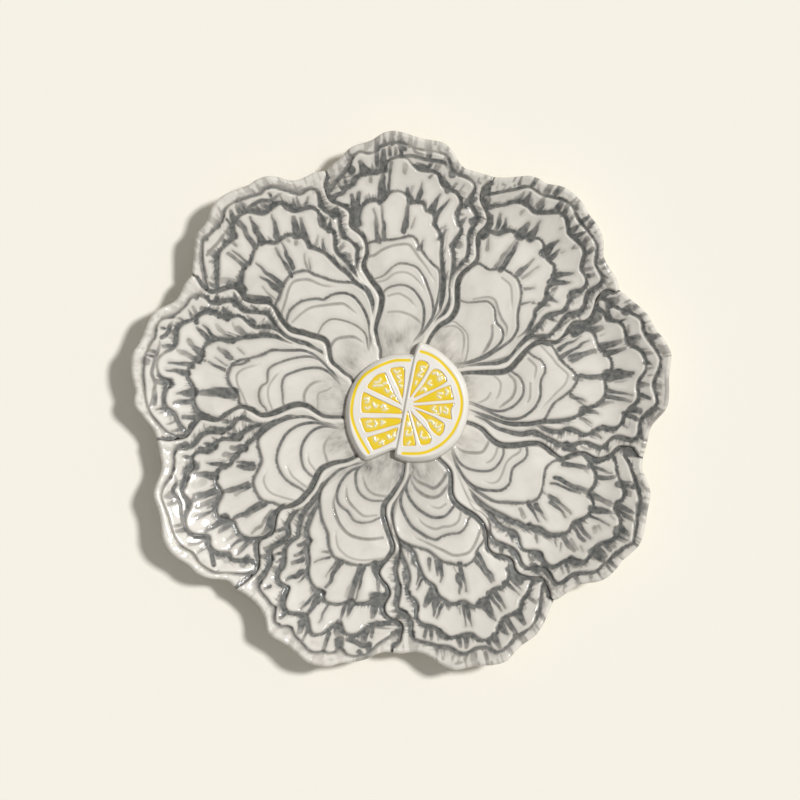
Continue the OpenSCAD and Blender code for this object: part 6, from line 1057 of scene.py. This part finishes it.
for number in range(shell_count):
    left_turn, right_turn = edge_turns[number - 1] - pitch, edge_turns[number]
    grid_turn = left_turn[:, None] + (right_turn - left_turn)[:, None] * u[None, :]
    rim_at = np.interp(grid_turn[-1], *rim_outlines[number])
    grid_r = base_r[:, None] + (v ** 3)[:, None] * (rim_at - lip_r - corner_r)[None, :]
    grid_x, grid_y = grid_r * np.sin(np.radians(grid_turn)), grid_r * np.cos(np.radians(grid_turn))
    high, wash_and_painted_shade = relief(number, grid_x.ravel(), grid_y.ravel())
    top_z = floor_level + dish_rise(grid_r.ravel() * hundredth) + high
    columns = shell_columns + 1
    top = placed(grid_x.ravel(), grid_y.ravel(), top_z, number).reshape(shell_rows + 1, columns, 3)
    wash_and_painted_shade = wash_and_painted_shade.reshape(shell_rows + 1, columns)

    # the lip: half a turn from the top face to the underside, leaning with the dish
    turn = np.linspace(0, math.pi, lip_rows + 1)[1:]
    end_turn = np.radians(grid_turn[-1])
    end_r = grid_r[-1]
    end_z = top_z.reshape(shell_rows + 1, columns)[-1]
    under_z = floor_level - wall + dish_rise(end_r * hundredth)
    out = np.sin(turn)[:, None] * lip_r
    lip_radius = end_r[None, :] + out
    half_z = (end_z - under_z) / 2
    lip_z = under_z + half_z + np.cos(turn)[:, None] * half_z + rim_slope * out * hundredth
    lip_x, lip_y = lip_radius * np.sin(end_turn), lip_radius * np.cos(end_turn)
    lip = placed(lip_x, lip_y, lip_z, number)
    tuck_r = end_r - tuck_in
    tuck = placed(tuck_r * np.sin(end_turn), tuck_r * np.cos(end_turn),
                  floor_level - wall + tuck_high + dish_rise(tuck_r * hundredth), number)[None]
    sheet = np.concatenate([top, lip, tuck])
    rows = len(sheet)
    fade = np.linspace(1, 0, lip_rows + 1)[:, None] ** 0.5
    wash_and_painted_shade = np.concatenate([wash_and_painted_shade, wash_and_painted_shade[-1][None, :] * fade])

    # a coarse face closes the shell underneath, on the dish
    across = np.linspace(0.01, 0.99, under_columns + 1) * shell_columns
    outward = np.linspace(0.01, 0.97, under_rows + 1) * shell_rows
    under_x, under_y = (
        np.array([np.interp(across, np.arange(columns), grid[int(round(n))]) for n in outward])
        for grid in (grid_x, grid_y))
    under = placed(under_x, under_y, floor_level + dish_rise(np.hypot(under_x, under_y) * hundredth), number)
    points = np.concatenate([sheet.reshape(-1, 3), under.reshape(-1, 3)])
    index = np.arange(rows * columns).reshape(rows, columns)
    low = rows * columns + np.arange(under.shape[0] * under.shape[1]).reshape(under.shape[:2])
    faces = sheet_faces(index) + sheet_faces(low.T)
    faces += zip_side(index[0, ::-1].tolist(), low[0, ::-1].tolist())
    faces += zip_side(index[-1].tolist(), low[-1].tolist())
    faces += zip_side(index[:, 0].tolist(), low[:, 0].tolist())
    faces += zip_side(index[::-1, -1].tolist(), low[::-1, -1].tolist())
    shell = mesh_piece(f"glazed_oyster_shell_{number + 1}", points, faces, oyster_glaze)
    values = np.zeros(len(points))
    values[:rows * columns] = wash_and_painted_shade.ravel()
    paint(shell, "wash_and_painted_shade", values)
    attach(shell, "root")
    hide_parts(f"oyster_shell_{number + 1}")

# The dish that carries the shells, cast in one with them. Its rim follows the shells' ruffled edge, a
# little inside it; underneath it is plain and shows the same cream glaze.
body_columns = shell_count * 48
body_inset = 2.0


def ring_faces(rows, columns, start=0):
    """Faces of rings of points between two poles, which come first and second."""
    ring = start + 2 + np.arange(rows * columns).reshape(rows, columns)
    after = np.roll(ring, -1, axis=1)
    faces = np.stack([ring[:-1], ring[1:], after[1:], after[:-1]], -1).reshape(-1, 4).tolist()
    faces += [(start, int(a), int(b)) for a, b in zip(ring[0], after[0])]
    faces += [(start + 1, int(b), int(a)) for a, b in zip(ring[-1], after[-1])]
    return faces


body_turn = np.arange(body_columns) * 360 / body_columns
rim_start = float(rim_outlines[0][0][0])
from_start = body_turn - rim_start
body_edge = np.array([
    np.interp(turn % pitch + rim_start, *rim_outlines[int(turn % 360 // pitch)]) for turn in from_start])
body_edge -= body_inset
body_mean = float(body_edge.mean())
under_side = np.linspace(0.03, 1, 70)
top_side = np.linspace(1, 0.05, 24)
body_rows = [(t, -wall) for t in under_side] + [(1.0, -wall / 2)] + [(t, 0.0) for t in top_side]
body_points = [np.array([[axis_x, axis_y, floor_level - wall], [axis_x, axis_y, floor_level]])]
around = np.radians(body_turn)
for t, lift in body_rows:
    # the ruffle fades quickly from the rim inwards
    r = t * body_mean + t ** 7 * (body_edge - body_mean)
    z = floor_level + lift + dish_rise(r * hundredth)
    body_points.append(placed(r * np.sin(around), r * np.cos(around), z))
dish_glaze, tree, shader = new_material("cream tin glaze")
place, cream = mottled(tree, "#E4DED2", "#D8D1C4", Scale=40.0, Detail=4.0)
glazed(tree, shader, cream, 0.22, 0.6, 0.06)
dish = mesh_piece("glazed_dish", np.concatenate(body_points), ring_faces(len(body_rows), body_columns),
                  dish_glaze)
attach(dish, "root")
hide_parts("plate_body")

# The foot ring, turned on the raw cast and wiped clean of glaze before firing, so the face that
# stands on the table is bare pinkish-cream biscuit, rough to the touch.
foot_profile = [
    (0.0806, 0.0070), (0.0794, 0.0067), (0.0786, 0.0058), (0.0782, 0.0040), (0.0779, 0.0016),
    (0.0775, 0.0004), (0.0769, 0.0), (0.0728, 0.0), (0.0722, 0.0004), (0.0718, 0.0016),
    (0.0715, 0.0040), (0.0711, 0.0058), (0.0703, 0.0067), (0.0691, 0.0070)]
foot_steps = 192
biscuit, tree, shader = new_material("bare fired biscuit below glaze")
place, clay = mottled(tree, "#DCC9B4", "#CBB49C", Scale=900.0, Detail=2.0)
height = add_node(tree, "ShaderNodeSeparateXYZ", Vector=place)
glazed_at = add_node(tree, "ShaderNodeMapRange", Value=height.outputs["Z"], i1=0.0004, i2=0.0007)
colour = blend(tree, glazed_at.outputs["Result"], clay, srgb("#DED8CC"))
rough = add_node(tree, "ShaderNodeMapRange", Value=glazed_at.outputs["Result"], i3=0.85, i4=0.2)
tree.links.new(colour, shader.inputs["Base Color"])
tree.links.new(rough.outputs["Result"], shader.inputs["Roughness"])
points = np.array([[(axis_x + r * math.cos(a), axis_y + r * math.sin(a), z) for r, z in foot_profile]
                   for a in np.arange(foot_steps) * 2 * math.pi / foot_steps])
index = np.arange(foot_steps * len(foot_profile)).reshape(foot_steps, -1)
beside, below = np.roll(index, -1, axis=0), np.roll(index, -1, axis=1)
faces = np.stack([index, below, np.roll(below, -1, axis=0), beside], -1)
foot = mesh_piece("biscuit_foot_ring", points.reshape(-1, 3), faces.reshape(-1, 4).tolist(), biscuit)
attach(foot, "root")
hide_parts("foot_ring")

# Two lemon slices, modelled in clay and luted over the hinges before the mould was taken: white tin
# glaze on rind, pith and membranes, with one yellow line brushed round the rind. Each point of an
# outline carries how softly the edge rounds over there. The pockets between the membranes are sunk.
slice_low = 0.01155
slice_high = {"left": 0.0185, "right": 0.0195}
slice_round = 0.0026
slice_centre = {"left": (-8.0, -1.5), "right": (9.0, 1.0)}
slice_outline = {
    "right": [
        (6.6, 23.2, 1.2), (9, 22.8, 1.8), (12, 21.5, 1.8), (16, 18.5, 1.8), (20, 14.5, 1.8), (23, 9.8, 1.8),
        (24.4, 5, 1.8), (24.8, 0.5, 1.8), (24.2, -4.5, 1.8), (22.5, -9.5, 1.8), (20, -13.5, 1.8),
        (16, -17, 1.8), (12, -19.2, 1.8), (8, -20.1, 1.8), (4, -20.3, 1.8), (1, -19.9, 1.8),
        (-1.2, -19, 1.5), (-2.4, -17.6, 1), (-1.2, -12, 0.7), (-0.1, -6, 0.7), (1, 0, 0.7), (2.5, 8, 0.7),
        (3.9, 15.3, 0.7), (5, 20, 0.8)],
    "left": [
        (5.2, 18.6, 0.6), (3, 19, 1.8), (0, 19.1, 1.8), (-4, 18.7, 1.8), (-8, 17.2, 1.8), (-12, 14.7, 1.8),
        (-15.5, 11.5, 1.7), (-18, 7.6, 1.6), (-19.7, 3, 1.5), (-20.3, -1, 1.5), (-20.3, -5, 1.5),
        (-19.5, -9.5, 1.5), (-17.9, -13.7, 1.5), (-15.9, -17.2, 1.5), (-14, -19.3, 1.6), (-12.2, -19.6, 1.6),
        (-8, -17.8, 1), (-4, -16.2, 1), (-0.8, -14.9, 0.6), (0.3, -6, 0.3), (1.4, 0, 0.3), (2.9, 8, 0.3),
        (4.3, 15.3, 0.4)]}
wedges = {
    "left": [
        [(-4.2, 13.5), (-3.6, 14.1), (-0.2, 14.5), (1.1, 13.9), (1.3, 12.5), (1.1, 7.7), (0.6, 3.3),
         (0, 2.7), (-1.6, 7), (-4.2, 12.4)],
        [(-12.8, 7), (-11.5, 9.2), (-9.3, 11.4), (-6.8, 12.3), (-5.7, 11.9), (-4.6, 9.2), (-2.7, 4.8),
         (-0.9, 1.8), (0.1, 0.2), (-2.4, 1.5), (-6, 3.3), (-11.5, 5.9)],
        [(-14.3, 4.8), (-13.4, 5.1), (-9.7, 3.3), (-4.2, 0.7), (-0.2, -1.2), (-0.2, -3), (-6, -2.9),
         (-13.4, -2.7), (-14.6, -2.4), (-15, -0.7), (-14.8, 2.6)],
        [(-15.1, -4.4), (-9.7, -4.3), (-0.7, -4.4), (-0.7, -6.6), (-4.2, -7.7), (-9.7, -9.3),
         (-12.8, -9.9), (-13.9, -8.8), (-14.7, -6.6)],
        [(-12.9, -11.7), (-11.5, -11), (-6, -9.3), (-1.5, -7.8), (-1.7, -10.1), (-2.2, -12.1),
         (-3.2, -13.2), (-6, -14.7), (-10.1, -16.3), (-10.8, -15.8), (-12.3, -13.2)]],
    "right": [
        [(5.1, 15), (5.8, 16.5), (7.1, 16.9), (9.2, 16.3), (10.2, 15), (9.9, 13.6), (7.9, 9.9),
         (4.9, 5.5), (3.5, 3.3), (2.8, 2.9), (2.9, 4), (3.9, 9.2)],
        [(10.6, 12.6), (12.1, 13.7), (14.1, 13.2), (15.9, 11.4), (16.7, 9.7), (16.3, 8.6),
         (12.3, 6.2), (7.1, 4), (4.2, 2.7), (4.9, 4.4), (7.9, 8.1)],
        [(3.7, 1.2), (6.8, 2.9), (12.3, 5.7), (17.4, 7.6), (18.1, 7.3), (18.7, 4.8), (19.2, 2.6),
         (18.5, 2.1), (12.3, 1.6), (6.8, 1.1)],
        [(3.5, 0.1), (8.6, 0.5), (15.9, 1), (19.2, 1.2), (19.3, 0.5), (18.3, -1.5), (18.5, -4.4),
         (18.2, -5.1), (15.2, -4.4), (10.4, -2.6), (6, -0.9)],
        [(4.2, -0.9), (7.1, -1.8), (11.5, -3.7), (15.2, -5.9), (15.9, -7), (15.6, -9.2),
         (14.5, -10.8), (13.6, -11.2), (12.5, -10.6), (10.4, -8.4), (9, -5.5), (6, -2.6)],
        [(3.1, -1.6), (4.9, -3.7), (7.1, -6.2), (9.7, -9.2), (11, -11.7), (10.6, -13.6),
         (9.3, -14.3), (7.5, -14.5), (6.6, -13.6), (5.5, -9.9), (4.2, -5.5)],
        [(2.3, -1.6), (3.5, -5.5), (4.6, -9.9), (5.3, -13.6), (5.1, -14.7), (3.5, -14.8),
         (0.9, -14.8), (0.3, -14.1), (0.5, -9.9), (1.3, -5.1)]]}
rind_line = {
    "right": [(7.1, 20), (10.4, 18.9), (14.1, 16.5), (17.4, 13), (20, 9.2), (21.4, 5.5), (22.1, 1.8),
              (21.8, -2.2), (20.5, -6.2), (18.5, -10.1), (15.2, -13.6), (11.5, -15.9), (7.9, -17.2),
              (4.2, -17.5), (0.4, -17.4)],
    "left": [(2.9, 16.8), (0.5, 16.8), (-2.4, 16.7), (-6, 15.6), (-9.7, 13.9), (-13.4, 11.4),
             (-15.9, 8.2), (-17.4, 4.4), (-18.2, 0.4), (-18.3, -3.3), (-17.4, -7.1), (-16, -10.4),
             (-14.1, -13.9), (-12.1, -17.2)]}
slice_seam = [(5.2, 20), (4, 15.3), (2.5, 8), (1, 0), (-0.1, -6), (-1.2, -12), (-1.9, -15.5)]


def smooth_loop(points, steps=6):
    """A smooth closed line through the drawn points."""
    return curve(np.array(points[-1:] + points + points[:2], float), steps)


def mound(outline, centre, columns, rows, inset=0.0):
    """Points of a disc that fills an outline: its centre, then rings round it."""
    away_x, away_y = outline[:, 0] - centre[0], outline[:, 1] - centre[1]
    order = np.argsort(np.arctan2(away_y, away_x))
    turn = np.linspace(-math.pi, math.pi, columns, endpoint=False)
    r = np.interp(turn, np.arctan2(away_y, away_x)[order], np.hypot(away_x, away_y)[order],
                  period=2 * math.pi) - inset
    t = np.linspace(0, 1, rows + 1)[1:, None]
    return (np.append(centre[0], centre[0] + t * r * np.cos(turn)),
            np.append(centre[1], centre[1] + t * r * np.sin(turn)))


def with_foot(x, y, z, foot_x, foot_y, low):
    """Points of a mound, with the pole under it and the ring that it stands on."""
    top = placed(x, y, z)
    pole = placed(x[:1], y[:1], np.array([low]))
    return np.concatenate([top[:1], pole, top[1:], placed(foot_x, foot_y, np.full(len(foot_x), low))])


def with_foot_values(values, columns, at_foot):
    """Thickness of a painted layer on those points."""
    return np.concatenate([values[:1], [0], values[1:], np.full(columns, at_foot)])


pith_glaze, tree, shader = new_material("white tin glaze with brushed yellow line")
place, white = mottled(tree, "#F2EEE5", "#E9E4DA", Scale=90.0, Detail=3.0)
lined = blend(tree, layer_at(tree, "yellow"), white, srgb("#F4D214"))
# brown painted shade where the slices meet the shells, and along their seam
glazed(tree, shader, blend(tree, layer_at(tree, "wash_and_painted_shade"), lined, srgb("#8A8069")), 0.35, 0.4, 0.06)
slice_columns = 620
slice_rows = 100
# the sunk pockets, the small swelling round them, the groove under the brushed line, the uneven face
pocket_deep = 0.0011
pocket_lip = 0.00007
line_deep = 0.00015
uneven = 0.0001
for side in ("left", "right"):
    outline = smooth_loop(slice_outline[side])
    x, y = mound(outline, slice_centre[side], slice_columns, slice_rows)
    away, (soft,) = near_line(x, y, np.vstack([outline, outline[:1]]), 3)
    soft = np.maximum(np.where(away < 3, soft, 1), 0.2)
    share = 1 - np.clip(away / soft, 0, 1)
    z = slice_high[side] - slice_round * np.minimum(soft / 1.8, 1) * (0.6 * ease(share) + 0.4 * share ** 2)
    z += uneven * np.sin(0.6 * x + 1) * np.sin(0.5 * y)
    for wedge in wedges[side]:
        loop = smooth_loop(wedge)
        depth, _ = near_line(x, y, np.vstack([loop, loop[:1]]), 2)
        depth = np.where(inside(x, y, loop), depth, -depth)
        z -= pocket_deep * ease(depth / 0.45)
        z += pocket_lip * np.exp(-((depth + 0.35) / 0.3) ** 2)
    away, _ = near_line(x, y, smooth_line(rind_line[side]), 2)
    yellow = ease((0.55 - away) / 0.3 + 0.5)
    z -= line_deep * np.exp(-(away / 0.6) ** 2)
    away, _ = near_line(x, y, smooth_line(slice_seam), 2)
    # a brown line along the seam, and painted shadow of the higher right slice, on the left slice
    wash_and_painted_shade = 0.6 * ease((0.35 - away) / 0.3) * (side == "left")
    # painted shade on the rounded edge, darkest where it meets the shells
    wash_and_painted_shade = np.maximum(wash_and_painted_shade, 0.35 * ease(share * 2 - 1.2))
    # the clay was smoothed down onto the shells, most of all at the lower left
    centre_x, centre_y = slice_centre[side]
    outer_x, outer_y = x[-slice_columns:] - centre_x, y[-slice_columns:] - centre_y
    flare = 1 + (0.3 + 1.1 * ease(-(outer_x + outer_y) / 20)) / np.hypot(outer_x, outer_y)
    points = with_foot(x, y, z, centre_x + outer_x * flare, centre_y + outer_y * flare, slice_low)
    piece = mesh_piece(f"glazed_lemon_slice_{side}", points, ring_faces(slice_rows + 1, slice_columns),
                       pith_glaze)
    paint(piece, "yellow", with_foot_values(yellow, slice_columns, 0))
    # the flared foot carries painted shade where the slice meets the shells
    paint(piece, "wash_and_painted_shade", with_foot_values(wash_and_painted_shade, slice_columns, 0.6))
    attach(piece, "root")
    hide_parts(f"lemon_slice_{side}")

# The flesh of the slices: wedges of clay in the pockets with pulp cells scratched up on them. Yellow
# glaze was brushed over and wiped off the raised cells, which show white; it pools orange at the edges.
cells = {
    "right": [
        [(8.6, 14.2), (7.2, 14.3), (7.4, 13.2)], [(7.9, 12.8), (6.8, 12.2)], [(6.6, 11.9), (6, 11.2),
        (7.2, 10.9)], [(5.4, 9), (5.2, 8.2)], [(11.6, 12), (12.9, 12.2), (13.2, 11.2), (14.2, 11.6)],
        [(14.6, 10.6), (13.6, 10.2), (13.8, 9.4), (14.8, 9.9)], [(10.6, 9.2), (9.8, 8.4), (10.8, 7.7)],
        [(7.2, 6), (8.2, 6.6), (8.8, 5.6)], [(16.3, 6), (17, 5.2), (16.4, 4.3)], [(14.9, 4.6), (13.6, 4.6)],
        [(13.4, 3.6), (14.2, 3.1)], [(15.9, -0.6), (16.8, -1.4), (16.6, -2.6), (15.4, -2)], [(14.2, -0.6),
        (14.3, -2.2)], [(12.2, -0.3), (11.4, -1.2), (12.6, -1.9)], [(11.6, -3), (13.4, -3)], [(9.8, -5.4),
        (11.2, -5.6), (11.6, -6.6)], [(12.6, -6.4), (12.4, -7.6), (13.4, -7.8), (14.2, -7.2)], [(13.4, -9),
        (14, -8.6)], [(5.8, -6), (6, -7.2), (6.8, -6.6)], [(7.4, -9.6), (7, -11), (8, -11.8), (9.2, -11.6)],
        [(2.2, -6.2), (2.8, -7.2), (2.2, -7.2)], [(2, -9.2), (1.8, -10.6), (3.6, -10.4), (3.8, -9.6)],
        [(2.9, -13.2), (2.3, -14)]],
    "left": [
        [(-2.6, 13), (-1.8, 12.2), (-1, 12.8)], [(-0.6, 11.2), (-1.6, 11), (-0.9, 10.2)], [(-0.3, 9.4),
        (-1, 8.8)], [(-0.6, 7.6), (-0.1, 7.2)], [(-9.8, 8.6), (-8.4, 8.8), (-7.8, 9.8)], [(-10.2, 7.4),
        (-7.2, 7.6)], [(-6.6, 8.2), (-5.6, 8.4)], [(-5.9, 6.2), (-5.2, 5.2), (-4.6, 5.6)], [(-4, 3.2),
        (-3.4, 4), (-2.6, 3.8)], [(-13.4, 2.6), (-12.4, 2.8), (-12.2, 1.6), (-13, 1.4)], [(-13.2, -0.6),
        (-12.4, -1), (-11.8, -0.4)], [(-10.4, 1), (-9.6, -0.4), (-9, 0.2)], [(-7.4, -0.4), (-6.6, 0.4),
        (-6, -0.6)], [(-6.6, -1.4), (-5.4, -1)], [(-12.8, -6), (-11.4, -5.6)], [(-12.6, -7.2),
        (-11.2, -7.6)], [(-9.8, -5.6), (-9.2, -6.6), (-9.8, -7.4)], [(-7.4, -5.6), (-6.4, -6), (-7.4, -6.6)],
        [(-10, -11.6), (-9.6, -12.8), (-8.9, -12.2)], [(-8, -13.6), (-7, -12.8), (-6.8, -14)], [(-5, -10.8),
        (-4.6, -11.8), (-3.8, -11.4)], [(-2.6, -10), (-2.9, -11), (-1.7, -10.8)]]}
flesh_glaze, tree, shader = new_material("yellow glaze wiped off raised cells")
place, bright = mottled(tree, "#F4D518", "#EECB1C", Scale=260.0, Detail=3.0)
pooled_glaze = blend(tree, layer_at(tree, "pooled"), bright, srgb("#E3AE0A"))
glazed(tree, shader, blend(tree, layer_at(tree, "wiped"), pooled_glaze, srgb("#F1EBCF")), 0.18, 0.6, 0.05)
wedge_columns = 170
wedge_rows = 38
# how far the flesh lies below the slice's face, how much its edge rounds over, how high the cells
# stand, and how deep its underside lies
flesh_down = 0.00035
flesh_round = 0.0006
cell_high = 0.00035
flesh_thick = 0.00115
for side in ("left", "right"):
    points, faces, pooled, wiped = [], [], [], []
    for wedge in wedges[side]:
        loop = smooth_loop(wedge)
        centre = loop.mean(0)
        x, y = mound(loop, centre, wedge_columns, wedge_rows, 0.12)
        depth, _ = near_line(x, y, np.vstack([loop, loop[:1]]), 2.5)
        share = 1 - np.clip(depth / 1.0, 0, 1)
        z = slice_high[side] - flesh_down - flesh_round * (1 - np.sqrt(1 - share ** 2))
        white = np.zeros(len(x))
        for cell in cells[side]:
            away, _ = near_line(x, y, smooth_line(cell, 3), 1.5)
            z += cell_high * np.exp(-(away / 0.35) ** 2)
            bare = np.maximum(ease((0.36 - away) / 0.2 + 0.5), 0.35 * np.exp(-(away / 0.8) ** 2))
            white = np.maximum(white, bare)
        faces += ring_faces(wedge_rows + 1, wedge_columns, sum(map(len, points)))
        points.append(with_foot(
            x, y, z, x[-wedge_columns:], y[-wedge_columns:], slice_high[side] - flesh_thick))
        edge = 0.8 * ease((0.75 - depth) / 0.65)
        pooled.append(with_foot_values(edge, wedge_columns, 1))
        wiped.append(with_foot_values(white, wedge_columns, 0))
    piece = mesh_piece(f"glazed_lemon_flesh_{side}", np.concatenate(points), faces, flesh_glaze)
    paint(piece, "pooled", np.concatenate(pooled))
    paint(piece, "wiped", np.concatenate(wiped))
    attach(piece, "root")
    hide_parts(f"lemon_flesh_{side}")
